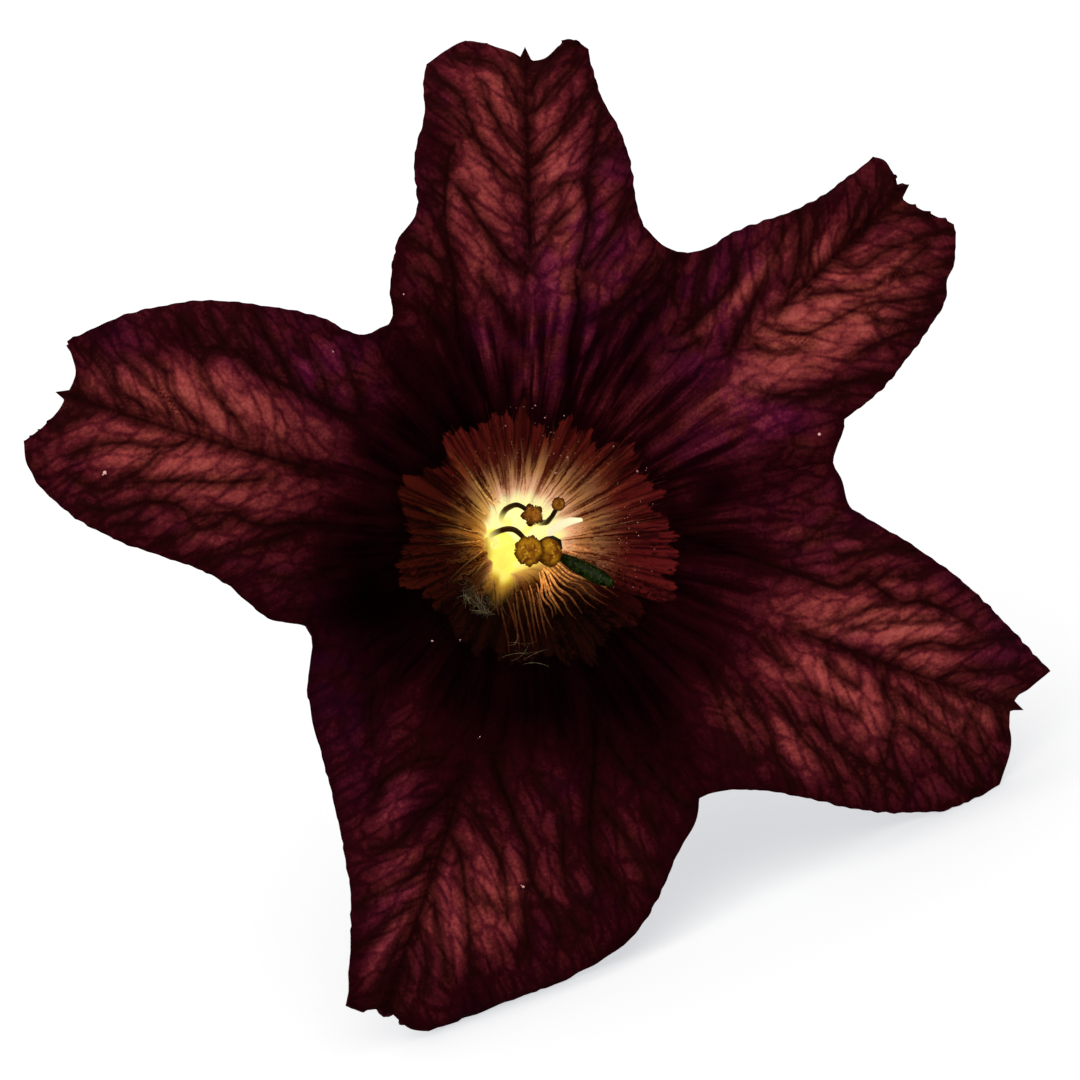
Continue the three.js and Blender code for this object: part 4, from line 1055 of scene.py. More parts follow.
def throat_colour(sh, home, ray_x, ray_y, radius, reach, streak):
    """The golden zone: dull folded rays outside, and bright streaks round the mouth of the tube, where
    the light that comes up the tube is painted on.

    Gives its colour, how far the painted light reaches, and the colour of that light."""
    def around(left, right, top, bottom):
        sideways = sh.mix(left, right, ray_x.step(-0.7, 0.7))
        upward = sh.mix(sideways, top, ray_y.step(0.15, 0.9))
        return sh.mix(upward, bottom, ray_y.step(-0.25, -0.85))

    sway = (home.noise(0.9, 2.0) - 0.5) * ray_y.step(0.2, -0.7, 0.03, 0.16)
    x, y = ray_x + sway, ray_y - sway

    def drawn_out(times, along, roughness):
        return sh.join(x * times, y * times, radius * along).noise(1.0, 2.0, roughness)

    broad, wide = drawn_out(7.0, 0.1, 0.5), drawn_out(11.0, 0.16, 0.6)
    fine, thin = drawn_out(20.0, 0.14, 0.6), drawn_out(42.0, 0.35, 0.5)
    grain = home.noise(6.0, 2.0, 0.6)

    # dull rays, parted by dark lines: painted shade in the creases between the folds
    rays = around((76, 23, 14), (108, 27, 27), (112, 32, 27), (36, 11, 6))
    deep_rays = around((32, 8, 5), (54, 10, 14), (64, 15, 14), (12, 3, 2))
    outer = sh.mix(deep_rays, rays, (broad * 0.45 + thin * 0.55).step(0.4, 0.56))
    crease_shade = sh.join(ray_x * 9.0, ray_y * 9.0).cells().step(0.02, 0.15, 0.62, 0.0)
    outer = sh.mix(outer, (14, 3, 3), crease_shade * radius.step(4.5, 6.5))

    # streaks in the light, partly their own gold and partly painted light that is brighter near the mouth
    outward = radius.step(4.2, 6.2)
    lines = around((244, 166, 76), (255, 192, 130), (255, 198, 138), (190, 106, 54))
    far_lines = around((206, 118, 50), (214, 92, 62), (214, 98, 54), (150, 70, 34))
    floor = around((92, 38, 14), (132, 50, 28), (136, 58, 28), (16, 5, 3))
    far_floor = around((66, 20, 8), (106, 28, 22), (86, 24, 15), (16, 5, 3))
    broader = ray_y.step(0.1, 0.8)
    strands = wide * (broader * 0.25 + 0.15) + fine * 0.34
    strands = strands + thin * (broader * -0.25 + 0.39) + grain * 0.12
    streaks = sh.mix(sh.mix(floor, far_floor, outward), sh.mix(lines, far_lines, outward),
                     strands.step(0.43, 0.53))
    # painted glints: bright specks on the streaks, on the right side
    painted_glint = grain.step(0.6, 0.72) * ray_x.step(-0.4, 0.4)
    streaks = sh.mix(streaks, (255, 196, 150), painted_glint * 0.5)
    fade = (streak - (wide - 0.5)).step(0.4, 1.0, 1.0, 0.0) * ray_y.step(0.1, -0.6, 1.0, 0.4)
    colour = sh.mix(outer, streaks, fade)

    # painted light in the lit mouth: cream streaks above, tan at the side and a painted pool of yellow
    # where the light falls deepest
    cream = sh.mix((252, 238, 206), (246, 192, 156), reach.step(0.62, 0.84))
    cream = sh.mix(cream, (236, 154, 92), reach.step(0.84, 1.15))
    cream = sh.mix(cream, (180, 96, 50), strands.step(0.5, 0.42) * reach.step(0.66, 0.9) * 0.8)
    core = sh.mix(cream, (224, 174, 72), ray_x.step(-0.4, -0.9) * 0.8)
    below = ray_y.step(-0.2, -0.5)
    tan = sh.mix((212, 146, 96), (206, 152, 66), ray_x.step(-0.5, 0.2))
    core = sh.mix(core, tan, below * 0.9)
    gold = sh.mix((246, 216, 60), (206, 150, 54), radius.step(2.4, 3.7))
    core = sh.mix(core, gold, (ray_x * -0.48 + ray_y * -0.88).step(0.93, 0.99))
    mouth = sh.mix((246, 234, 116), (252, 246, 184), ray_y.step(-0.3, 0.5))
    core = sh.mix(mouth, core, reach.step(0.64, 0.84))
    core = sh.mix(core, (214, 186, 76), grain.step(0.5, 0.66) * 0.3)

    ragged = wide * 0.6 + fine * 0.4 - 0.5
    near = (reach + ragged * below.step(0.0, 1.0, -1.7, -0.5)).step(0.66, 1.3, 1.0, 0.0)
    # the painted light of the mouth goes into the colour here, and glows in petal_material
    return sh.mix(colour, core.scaled(0.4), near), near, core


def petal_material():
    """The corolla's tissue with its veins and net and its painted light and shade, the golden zone with its
    painted glow, and the duller outside.
    """
    sh = Shader("petal_velvet", 0.7, 0.004)
    home = sh.attribute("home")
    across, margin, share = sh.attribute("leaf").parts()
    shade, gap, signed_gap = sh.attribute("vein").parts()
    along_net, across_net, force = sh.attribute("net").parts()
    light, plum, _ = sh.attribute("tone").parts()
    ray_x, ray_y, radius = sh.attribute("ray").parts()
    past_gold, reach, streak_reach = sh.attribute("zone").parts()
    back = sh.attribute("back").parts()[0]

    def rays_of(times, along, roughness):
        return sh.join(ray_x * times, ray_y * times, radius * along).noise(1.0, 3.0, roughness)

    # the net between the veins is drawn out along their run, and along the rays near the throat
    warp = home.noise(0.22, 2.0) - 0.5
    small_warp = home.shifted(7.0, 3.0, 5.0).noise(0.5, 2.0) - 0.5
    u = along_net + small_warp * 1.8
    v = across_net + (warp * 1.6 + small_warp * 0.8)

    def net_of(times_along, times_across):
        return sh.join(u * times_along, v * times_across).cells().step(0.0, 0.24, 1.0, 0.0)

    net, small_net = net_of(0.46, 0.9), net_of(1.0, 1.7)
    mottle = home.noise(2.3, 2.0, 0.6)
    grain = home.noise(4.6, 3.0, 0.65)
    blotch = sh.join(u * 0.5, v * 0.85).noise(1.0, 1.5)
    on_limb = radius.step(11.5, 16.0)

    # how light the tissue is, from 0 to 1, painted light and shade included
    thread = signed_gap.bell(VEIN_CORE) * gap.step(0.2, 0.42, 1.0, 0.0) * force
    dark = (thread * 0.85).most(shade * 0.42, clamp=True)
    tissue = light * margin.step(0.0, 1.6, 0.8, 1.14) * gap.step(0.1, 0.9, 0.8, 1.08)
    tissue = tissue * (1.0 - dark * 0.85)
    tissue = tissue * (1.0 - net * on_limb * 0.33) * (1.0 - small_net * on_limb * 0.13)
    tissue = tissue * blotch.step(0.3, 0.7, 0.92, 1.16) * mottle.step(0.3, 0.7, 0.94, 1.12)
    rays = rays_of(15.0, 0.13, 0.6).step(0.34, 0.64, 0.35, 1.5)
    tissue = tissue * (rays + (1.0 - rays) * on_limb)
    tissue = tissue * grain.step(0.3, 0.7, 0.9, 1.1) * past_gold.step(0.0, 1.3, 0.5, 1.0) * 0.8

    # red, violet and brown tissue
    red = tissue.ramp((3, 0, 0), (38, 4, 9), (77, 20, 26), (114, 42, 42), (138, 56, 53), (152, 70, 64))
    violet = tissue.ramp((3, 0, 2), (36, 3, 18), (74, 12, 38), (110, 31, 55), (134, 50, 68), (148, 66, 80))
    dry = tissue.ramp((5, 1, 0), (38, 9, 7), (76, 28, 20), (110, 51, 36), (134, 70, 52), (148, 84, 66))
    drift = home.shifted(1.0, 9.0, 4.0).noise(0.4, 3.0, 0.6)
    purple = sh.math("MINIMUM", plum, 1.0) * drift.step(0.4, 0.56, 0.05, 1.0)
    purple = purple.most(drift.step(0.56, 0.7) * light.step(0.6, 0.35) * 0.4)
    tip = share.step(0.86, 0.97) * sh.math("ABSOLUTE", across).step(0.5, 2.2, 0.6, 0.0)
    brown = tip.most(gap.step(0.15, 0.65, 0.5, 0.0) * on_limb).most(drift.step(0.42, 0.3) * 0.35)
    petal = sh.mix(sh.mix(red, violet, purple), dry, brown)

    # the golden zone ends in many small teeth, one for each fold
    folds = sh.join(ray_x * 9.0, ray_y * 9.0)
    tall = folds.cells("F1", "Color").parts()[0]
    teeth = folds.cells("F1") - tall * 0.9 + rays_of(30.0, 1.2, 0.7) * 1.7
    in_gold = (past_gold + (teeth - 0.65)).step(-0.06, 0.1, 1.0, 0.0)
    throat, near, core = throat_colour(sh, home, ray_x, ray_y, radius, reach, streak_reach)
    face = sh.mix(petal, throat, in_gold)

    # the outside is duller, and paler down the tube
    tube = sh.mix((62, 20, 26), (118, 100, 54), share.step(-0.35, -0.8))
    tube = sh.mix(tube, (46, 14, 22), rays_of(9.0, 0.12, 0.6).step(0.45, 0.6) * 0.7)
    limb_back = sh.mix((60, 18, 30), (28, 6, 14), dark.most(net * 0.5, clamp=True))
    outside = sh.mix(limb_back, tube, share.step(0.05, -0.2))
    sh.set("Base Color", sh.mix(face, outside, back))

    # painted light: the mouth of the tube glows by itself, standing in for light that comes through the
    # thin wall round it
    glow = near * reach.step(0.6, 1.4, 1.0, 0.3) * (1.0 - back)
    sh.set("Emission Color", sh.mix((0, 0, 0), core, glow))
    sh.set("Emission Strength", 0.8)

    # velvet: fine grain, and veins pressed in
    relief = grain * 0.6 - dark.most(net * 0.4) * 0.7
    sh.set("Normal", relief.bump(0.12 * MM, 0.8))
    return sh.material


def plain_material(name, dark, light, scale, roughness, bump=0.0, speckle=None, edge=None, glow=None,
                   lit_from=None, shine=0.3):
    """A surface mottled between two colours, with grain of that scale per millimetre.

    bump is the grain's height in millimetres, speckle the colour of its spots and edge that of the
    rim, where it is painted shade. glow is the colour of painted light, its strength and the two heights
    between which the lit depth of the tube begins, and lit_from where that light begins sideways."""
    sh = Shader(name, roughness, shine)
    place = sh.node("TexCoord", {}, "Object")
    grain = place.noise(scale / MM, 4.0, 0.6)
    colour = sh.mix(dark, light, grain.step(0.36, 0.64))
    if speckle:
        colour = sh.mix(colour, speckle, place.noise(2.6 * scale / MM, 1.0).step(0.58, 0.66))
    # the rim: painted shade, darker towards the edge
    if edge:
        colour = sh.mix(colour, edge, sh.attribute("rim").parts()[0])
    # painted light: deep in the tube the colour is lightened and made to glow
    if glow:
        bright, strength, low, high = glow
        x, _, z = sh.attribute("home").parts()
        deep = z.step(low, high, 1.0, 0.0)
        if lit_from:
            deep = deep * x.step(*lit_from)
        colour = sh.mix(colour, tuple(0.66 * value for value in bright), deep)
        sh.set("Emission Color", sh.mix((0, 0, 0), bright, deep))
        sh.set("Emission Strength", strength)
    sh.set("Base Color", colour)
    sh.set("Normal", grain.bump(bump * MM, 1.0))
    return sh.material


# Rods, hairs and grains

def strayed(direction, amount):
    """A random way near a direction."""
    return unit(direction + dice.normal(size=3) * amount)


def ring_pairs(rows, count):
    """The numbers of neighbouring points in rings of that many, ring by ring."""
    for i in range(rows):
        for j in range(count):
            yield i * count + j, i * count + (j + 1) % count


def frames_along(path):
    """A steady pair of side directions at each point of a path."""
    tangents = unit(np.gradient(path, axis=0))
    side = np.cross(tangents[0], (0.3, 1.0, 0.2))
    sides = []
    for tangent in tangents:
        side = unit(side - tangent * (side @ tangent))
        sides.append(side)
    return np.array(sides), np.cross(tangents, sides)


def rod(route, radii, sides=12, steps=40, bumps=0.0):
    """Points and faces of a round rod with domed ends."""
    path = even_spline(route, np.linspace(0, 1, steps + 1))
    radius = evenly(radii, steps + 1)
    first, second = frames_along(path)
    angle = np.linspace(0, 2 * math.pi, sides, endpoint=False)[None, :, None]
    wobble = 1 + bumps * dice.normal(size=(steps + 1, sides))
    ring = np.cos(angle) * first[:, None] + np.sin(angle) * second[:, None]
    points = path[:, None] + ring * (radius[:, None] * wobble)[..., None]
    caps = [path[0] + unit(path[0] - path[1]) * radius[0] * 0.5,
            path[-1] + unit(path[-1] - path[-2]) * radius[-1] * 0.5]
    faces = [(a, b, b + sides, a + sides) for a, b in ring_pairs(steps, sides)]
    last = steps * sides
    for a, b in ring_pairs(1, sides):
        faces += [(last + sides, b, a), (last + sides + 1, last + a, last + b)]
    return np.concatenate([points.reshape(-1, 3), caps]), faces


def joined(parts):
    """Several shapes as one."""
    points, faces, start = [], [], 0
    for part_points, part_faces in parts:
        points.append(np.asarray(part_points, float))
        faces += [tuple(v + start for v in face) for face in part_faces]
        start += len(part_points)
    return np.concatenate(points), faces


def hair(root, direction, length, radius, bend):
    """A tapering three-sided hair that leans over by bend."""
    tip = root + direction * length + bend
    middle = root + direction * length * 0.55 + bend * 0.3
    side = unit(np.cross(direction, (0.31, 0.52, 0.8)))
    other = np.cross(direction, side)
    ring = [side, -0.5 * side + 0.87 * other, -0.5 * side - 0.87 * other]
    points = [root + v * radius for v in ring] + [middle + v * radius * 0.6 for v in ring] + [tip]
    faces = [(2, 1, 0)]
    for a, b in ring_pairs(1, 3):
        faces += [(a, b, b + 3, a + 3), (a + 3, b + 3, 6)]
    return np.array(points), faces


def ball(middle, size, rings=6, bumps=0.0):
    """A small closed ball, lumpy by bumps."""
    points = []
    around = rings * 2
    for i in range(1, rings):
        tilt = math.pi * i / rings
        for j in range(around):
            turn = 2 * math.pi * j / around
            way = [math.sin(tilt) * math.cos(turn), math.sin(tilt) * math.sin(turn), math.cos(tilt)]
            points.append(np.array(way) * (1 + bumps * dice.normal()))
    faces = [(a, a + around, b + around, b) for a, b in ring_pairs(rings - 2, around)]
    north, last = len(points), len(points) - around
    points += [[0, 0, 1], [0, 0, -1]]
    for a, b in ring_pairs(1, around):
        faces += [(north, a, b), (north + 1, last + b, last + a)]
    return np.array(points) * np.asarray(size) + np.asarray(middle), faces


def thread(places, radius, tint, lit, sides=5):
    """A thin tapering rod through the places: its shape, and each point's colour and painted glow."""
    count = len(places)
    share = np.linspace(0, 1, count)
    radii = radius * np.sin(math.pi * (0.06 + 0.88 * share)) ** 0.6
    radii = radii * (1 + 0.22 * np.sin(29 * share + 400 * radius))
    around = np.concatenate([np.repeat(np.arange(count), sides), [0, count - 1]])
    return rod(places, radii, sides, count - 1), tint[around], np.broadcast_to(lit, count)[around]


def add_threads(name, threads):
    """Threads as one piece, mottled along their length, each glowing with its own painted light."""
    shapes, tints, lights = zip(*threads)
    sh = Shader(name, 0.4, 0.06)
    mottle = sh.attribute("home").noise(3.2, 3.0).step(0.36, 0.64, 0.55, 1.3)
    colour = sh.attribute("tint").scaled(mottle)
    sh.set("Base Color", colour)
    sh.set("Emission Color", colour.scaled(sh.attribute("lit").parts()[0]))
    sh.set("Emission Strength", 1.0)
    mesh = add_piece(name, joined(shapes), sh.material, "petal")
    put_values(mesh, "tint", np.concatenate(tints))
    put_values(mesh, "lit", np.concatenate(lights))


def throat_tint(degrees, share):
    """The colour of a raised line at that bearing and share of its length, made linear: lighter near the
    mouth by painted light.
    """
    mixed = []
    for k in range(3):
        near = round_list(degrees, [(bearing, tint[k]) for bearing, tint, _ in THROAT_TINTS])
        far = round_list(degrees, [(bearing, tint[k]) for bearing, _, tint in THROAT_TINTS])
        mixed.append(near + (far - near) * share)
    return ((np.stack(mixed, -1) / 255 + 0.055) / 1.055) ** 2.4


def make_throat_lines(tree):
    """The ridges and the thin lines between them, lit and glowing near the mouth of the tube with painted
    light.
    """
    lines = [(thick, even_spline(points, np.linspace(0, 1, 22))) for thick, points in RIDGES]
    for _ in range(FINE_LINES):
        bearing = dice.uniform(-30, 225)
        start = max(2.65, round_list(bearing, GLOW_REACH) * dice.uniform(1.1, 1.6))
        end = start + dice.uniform(0.3, 1) ** 2 * 3.6
        share = np.linspace(0, 1, 16)
        radius = start + (end - start) * share
        sway = dice.uniform(0.03, 0.14) * np.sin(share * dice.uniform(3, 9) + dice.uniform(0, 6))
        drift = dice.normal() * 1.5 * share
        degrees = bearing + drift + np.degrees(sway / radius)
        lines.append((dice.uniform(0.012, 0.026), np.stack([degrees, radius], -1)))
    threads = []
    for thick, run in lines:
        degrees, radius = run[:, 0], run[:, 1]
        places = on_face(tree, polar(degrees, radius), 0.1 * thick)
        share = np.clip((radius - 2.6) / 3.6, 0, 1)
        # near the mouth the lines glow: painted light that fades out along them
        least, lit = (0.45, 0.4) if thick < 0.03 else (0.8, 0.8)
        tint = throat_tint(degrees, share) * dice.uniform(least, 1.2)
        threads.append(thread(places, thick, tint, lit * (1 - smooth(share, 0, 0.5))))
    add_threads("throat_lines", threads)


def make_loose_threads(tree):
    """Pale wisps that hang over the lower wall of the throat, with a faint painted glow."""
    threads = []
    for middle, spread, count, reach, bearing, swing in THREADS:
        for _ in range(count):
            start = np.array(middle) + dice.normal(size=2) * spread
            heading = bearing + swing * dice.uniform(-1, 1)
            step = reach * dice.uniform(0.4, 1) / 13
            curl = dice.normal() * 6
            way = np.cumsum([polar(heading + curl * (i - 7), step) for i in range(14)], axis=0)
            base = on_face(tree, start + way - way[7], 0.12)
            base[:, 2] += dice.uniform(0.05, 0.5) * np.sin(np.linspace(0.3, 2.8, 14))
            tone = dice.uniform(0.08, 0.36)
            tint = np.tile((tone, tone * 0.8, tone * 0.42), (14, 1))
            # each wisp glows faintly: painted light
            threads.append(thread(base, dice.uniform(0.005, 0.01), tint, 0.2, 3))
    add_threads("loose_threads", threads)


def scatter(tree, name, grains, look):
    """Small lumpy grains on the face, each at its plan place."""
    parts = []
    for x, y, size in grains:
        place = on_face(tree, [(x, y)], size * 0.4)[0]
        parts.append(ball(place, [size, size * dice.uniform(0.7, 1), size], 4, 0.12))
    add_piece(name, joined(parts), look, "gold_anther")


def make_specks(tree):
    """Grains of pollen that have dropped on the face, and finer pale grains on the throat that are painted
    glints.
    """
    grains = []
    for x, y, size in SPECKS:
        dx, dy = dice.normal(size=2) * size * 1.3
        grains += [(x, y, size), (x + dx, y + dy, size * 0.4)]
    # painted glints: pale grains on the right and top of the throat
    for _ in range(GLINT_GRAINS):
        x, y = polar(dice.uniform(-30, 120), dice.uniform(3.4, 8.2))
        grains.append((x, y, dice.uniform(0.02, 0.04)))
    look = plain_material("grain_pale", (206, 130, 130), (246, 200, 190), scale=2.0, roughness=0.5)
    scatter(tree, "pollen_and_glint_specks", grains, look)
    grains = []
    for _ in range(GOLD_DUST):
        x, y = polar(dice.uniform(-40, 145), 3.3 + 3.4 * dice.uniform() ** 1.5)
        grains.append((x, y, dice.uniform(0.018, 0.036)))
    look = plain_material("grain_gold", (214, 124, 50), (255, 204, 136), scale=2.0, roughness=0.5)
    scatter(tree, "gold_dust", grains, look)


def make_tube_hairs(places, ways, look):
    """Short hairs all over the outside of the tube."""
    count, shortest, longest, thick = TUBE_HAIRS
    hairs = []
    for i in dice.integers(0, len(places), count):
        way = strayed(ways[i], 0.3)
        length = dice.uniform(shortest, longest)
        if to_world(places[i] + way * (length + 0.3))[2] > 0.2 * MM:
            hairs.append(hair(places[i] - way * 0.04, way, length, thick, dice.normal(size=3) * 0.08))
    add_piece("tube_hairs", joined(hairs), look, "petal")


def make_anther(number, middle, size, finish, scallops):
    """Two pollen sacs with a furrow between them and a scalloped rim, thick with grains."""
    points, faces = ball((0, 0, 0), (1, 1, 1), 22, 0.012)
    waist = 1 - 0.3 * np.exp(-((points[:, 0] / 0.26) ** 2)) * (1 - np.abs(points[:, 1]))
    turn = np.arctan2(points[:, 1], points[:, 0])
    flat = 1 - np.abs(points[:, 2])
    ragged = 0.035 * np.cos(13 * turn + 1.7) + 0.03 * np.cos(5 * turn + 0.4 * number)
    lumps = 1 + flat * (scallops[1] * np.cos(scallops[0] * turn + number) + ragged)
    points = points * lumps[:, None]
    points[:, 2] *= waist
    parts = [(points * size + middle, faces)]
    for _ in range(ANTHER_GRAINS):
        place = strayed(np.zeros(3), 1) * size * dice.uniform(0.93, 1.02) + middle
        parts.append(ball(place, [dice.uniform(0.03, 0.06)] * 3, 4, 0.05))
    points, faces = joined(parts)
    dark, light, speckle, edge = FINISHES[finish]
    look = plain_material(f"pollen_{number}", dark, light, scale=1.6, roughness=0.75, bump=0.05,
                          speckle=speckle, edge=edge, shine=0.1)
    name = f"anther_{number}"
    mesh = add_piece(name + "_grainy", (points, faces), look, finish + "_anther", name)
    off = np.hypot(*((points - middle) / size).T[:2])
    # the rim darkens towards the edge of each sac: painted shade
    put_values(mesh, "rim", 0.85 * smooth(off, 0.68, 1.02))


def make_stamens():
    """The four filaments and their anthers."""
    # deep down the filaments glow: painted light
    olive = plain_material("filament_olive", (24, 15, 4), (62, 42, 12), scale=1.5, roughness=0.42,
                           bump=0.02, glow=((250, 238, 140), 0.8, -23.6, -18.4), shine=0.08)
    for number, (route, middle, size, finish, scallops) in enumerate(STAMENS, 1):
        middle = np.array(middle, float)
        # the filament runs on into its anther
        end = middle - (middle - route[-1]) * 0.35
        shape = rod([*route, tuple(end)], FILAMENT_RADII, sides=10, steps=44, bumps=0.02)
        add_piece(f"filament_{number}_thin", shape, olive, "filament", f"filament_{number}")
        make_anther(number, middle, np.array(size), finish, scallops)


def make_pistil():
    """The nectar disc, the ovary and style, the stigma and the staminode."""
    # the nectar disc, ovary and style glow from below: painted light
    pale = plain_material("style_green", (150, 100, 30), (176, 130, 50), scale=1.0, roughness=0.45,
                          bump=0.02, glow=((246, 236, 108), 0.8, -25.5, -19.5), lit_from=(-1.0, -0.35),
                          shine=0.03)
    disc = ball(NECTAR_DISC_AT, NECTAR_DISC, rings=16, bumps=0.01)
    add_piece("nectar_disc", disc, pale, "pistil_green")
    style = rod(PISTIL_ROUTE, PISTIL_RADII, sides=18, steps=90)
    add_piece("pistil_smooth", style, pale, "pistil_green", "pistil")

    moist = plain_material("stigma_moist", (9, 15, 1), (28, 42, 6), scale=2.6, roughness=0.5,
                           bump=0.04, speckle=(50, 64, 16), shine=0.1)
    stigma = rod(STIGMA_ROUTE, STIGMA_RADII, sides=16, steps=40, bumps=0.03)
    add_piece("stigma_ridged", stigma, moist, "stigma_green", "stigma")

    # the staminode glows: painted light
    cream = plain_material("staminode_cream", (236, 216, 170), (255, 248, 226), scale=1.0,
                           roughness=0.4, bump=0.02, glow=((255, 244, 196), 0.9, -15.2, -13.2))
    staminode = rod(STAMINODE_ROUTE, STAMINODE_RADII, sides=12, steps=40)
    add_piece("staminode_pale", staminode, cream, "pale_rod", "staminode")


def calyx_rings(degrees, tooth):
    """Inner face of the calyx as rings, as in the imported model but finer."""
    bowl = [(0.9, CALYX_FLOOR), (2.2, CALYX_FLOOR + 0.1), (CALYX_INNER, CALYX_FLOOR + 0.6),
            (CALYX_BELLY, CALYX_FLOOR + 2.5), (CALYX_BELLY, CALYX_FLOOR + 4.5),
            (CALYX_INNER, CALYX_GAP - 1)]
    rings = [(radius, np.full(CALYX_COLUMNS, z))
             for radius, z in spline(bowl, np.linspace(0, 1, CALYX_ROWS[0]))]
    for share in np.linspace(0.05, 1, CALYX_ROWS[1]):
        rings.append((CALYX_INNER + CALYX_FLARE * (tooth * share) ** 2,
                      CALYX_GAP - 1 + share * (1 + CALYX_TOOTH * tooth ** 1.4)))
    return np.array([np.column_stack([polar(degrees, radius), z]) for radius, z in rings])


def make_calyx():
    """The ribbed calyx and its hairs, whose look it gives back."""
    degrees = np.arange(CALYX_COLUMNS) * 360 / CALYX_COLUMNS
    inner = calyx_rings(degrees, np.abs((degrees % 72) - 36) / 36)
    count, columns = inner.shape[:2]
    out = np.column_stack([polar(degrees, 1.0), np.zeros(columns)])
    rib = 0.12 * np.cos(np.radians(degrees * 5)) + 0.07 * np.cos(np.radians(degrees * 10))
    share = np.linspace(0, 1, count)[:, None]
    thick = (CALYX_WALL - 0.12 + rib[None, :]) * (1 - 0.55 * share) + 0.02
    outer = inner + out[None] * thick[..., None] * smooth(share, 0.0, 0.1)[..., None]
    outer[..., 2] -= CALYX_WALL * (1 - smooth(share, 0.02, 0.14))
    points = np.concatenate([inner.reshape(-1, 3), outer.reshape(-1, 3),
                             [[0, 0, CALYX_FLOOR], [0, 0, CALYX_FLOOR - CALYX_WALL]]])
    faces = []
    behind = count * columns
    for a, d in ring_pairs(count - 1, columns):
        b, c = a + columns, d + columns
        faces += [(a, b, c, d), (d + behind, c + behind, b + behind, a + behind)]
    last = (count - 1) * columns
    for a, b in ring_pairs(1, columns):
        faces += [(last + a, last + a + behind, last + b + behind, last + b),
                  (a, b, 2 * behind), (b + behind, a + behind, 2 * behind + 1)]
    green = plain_material("calyx_green", (72, 94, 36), (112, 134, 58), scale=1.3, roughness=0.55,
                           bump=0.06, speckle=(130, 150, 76))
    add_piece("calyx_ribbed", (points, faces), green, "calyx_green", "calyx")
    number, shortest, longest, thick = CALYX_HAIRS
    hairs = []
    for _ in range(number):
        i, j = dice.integers(4, count), dice.integers(0, columns)
        way = strayed(out[j], 0.25)
        root = outer[i, j] - way * 0.05
        length = dice.uniform(shortest, longest)
        hairs.append(hair(root, way, length, thick, dice.normal(size=3) * 0.12))
    hair_look = plain_material("hair_pale", (150, 158, 96), (206, 208, 150), scale=1.0, roughness=0.5)
    add_piece("calyx_hairs", joined(hairs), hair_look, "calyx_green")
    return hair_look


def make_stalk(hair_look):
    """The cut stalk and its hairs."""
    green = plain_material("stalk_green", (78, 96, 40), (116, 132, 60), scale=1.1, roughness=0.55,
                           bump=0.05)
    stalk = rod(STALK_ROUTE, STALK_RADII, sides=28, steps=60, bumps=0.008)
    add_piece("pedicel_fine", stalk, green, "stalk_green", "pedicel")
    path = even_spline(STALK_ROUTE, np.linspace(0, 1, 200))
    first, second = frames_along(path)
    radius = evenly(STALK_RADII, 200)
    number, shortest, longest, thick = STALK_HAIRS
    hairs = []
    for _ in range(number):
        i, turn = dice.integers(8, 198), dice.uniform(0, 2 * math.pi)
        way = first[i] * math.cos(turn) + second[i] * math.sin(turn)
        root = path[i] + way * (radius[i] - 0.04)
        if to_world(root + way)[2] >= 0.4 * MM:
            length = dice.uniform(shortest, longest)
            hairs.append(hair(root, way, length, thick, dice.normal(size=3) * 0.1))
    add_piece("pedicel_hairs", joined(hairs), hair_look, "stalk_green")


# The floor, the light and the camera

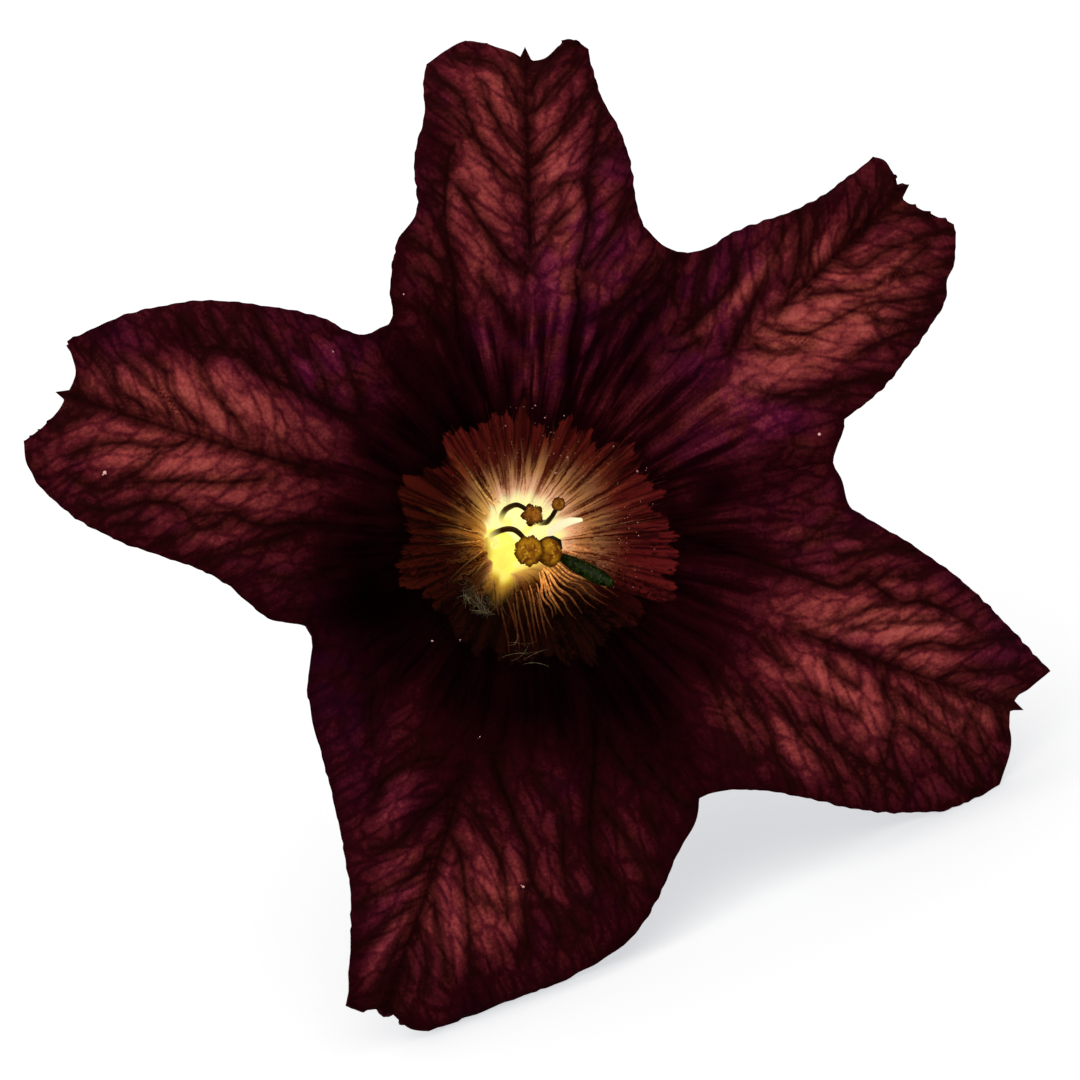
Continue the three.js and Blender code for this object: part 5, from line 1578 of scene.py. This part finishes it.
def make_stage():
    """The pale surface that the flower lies on."""
    mesh = bpy.data.meshes.new("floor")
    corners = [(-FLOOR_HALF, -FLOOR_HALF, 0), (FLOOR_HALF, -FLOOR_HALF, 0),
               (FLOOR_HALF, FLOOR_HALF, 0), (-FLOOR_HALF, FLOOR_HALF, 0)]
    mesh.from_pydata(corners, [], [(0, 1, 2, 3)])
    floor = bpy.data.objects.new("floor", mesh)
    bpy.context.scene.collection.objects.link(floor)
    sh = Shader("floor_pale", 0.9, 0.0)
    sh.set("Base Color", FLOOR_COLOUR)
    sh.set("Emission Color", FLOOR_GLOW)
    sh.set("Emission Strength", 1.0)
    mesh.materials.append(sh.material)


def make_lights():
    """Even light from all round, and two softboxes."""
    world = bpy.data.worlds.new("soft_studio")
    world.use_nodes = True
    background = world.node_tree.nodes["Background"]
    background.inputs["Color"].default_value = (1, 1, 1, 1)
    background.inputs["Strength"].default_value = WORLD_LIGHT
    bpy.context.scene.world = world
    for name, (place, size, power) in SOFTBOXES.items():
        light = bpy.data.lights.new(name, "AREA")
        light.energy = power
        light.size = size
        lamp = bpy.data.objects.new(name, light)
        lamp.location = place
        lamp.rotation_mode = "QUATERNION"
        lamp.rotation_quaternion = (Vector(SOFTBOX_AIM) - Vector(place)).to_track_quat("-Z", "Y")
        bpy.context.scene.collection.objects.link(lamp)
    bpy.context.scene.view_settings.view_transform = "Standard"


def make_camera():
    """The camera, as the photograph was taken."""
    back = unit(np.array(LOOK_FROM))
    right = unit(np.array([1.0, 0, 0]) - back[0] * back)
    up = np.cross(back, right)
    middle = PICTURE / 2
    target = ((AXIS_PIXEL[1] - middle) * up - (AXIS_PIXEL[0] - middle) * right) / PIXELS_PER_MM
    data = bpy.data.cameras.new("camera")
    data.sensor_width = SENSOR
    data.lens = SENSOR * DISTANCE / (PICTURE / PIXELS_PER_MM)
    data.clip_start, data.clip_end = 0.01, 10.0
    camera = bpy.data.objects.new("camera", data)
    matrix = Matrix((turn_matrix @ np.stack([right, up, back], 1)).tolist()).to_4x4()
    matrix.translation = Vector(to_world(target + back * DISTANCE))
    camera.matrix_world = matrix
    bpy.context.scene.collection.objects.link(camera)
    bpy.context.scene.camera = camera


make_camera()
make_stage()
make_lights()
face_tree, tube_places, tube_ways = make_corolla()
make_throat_lines(face_tree)
make_loose_threads(face_tree)
make_specks(face_tree)
make_stamens()
make_pistil()
pale_hair = make_calyx()
make_stalk(pale_hair)
make_tube_hairs(tube_places, tube_ways, pale_hair)
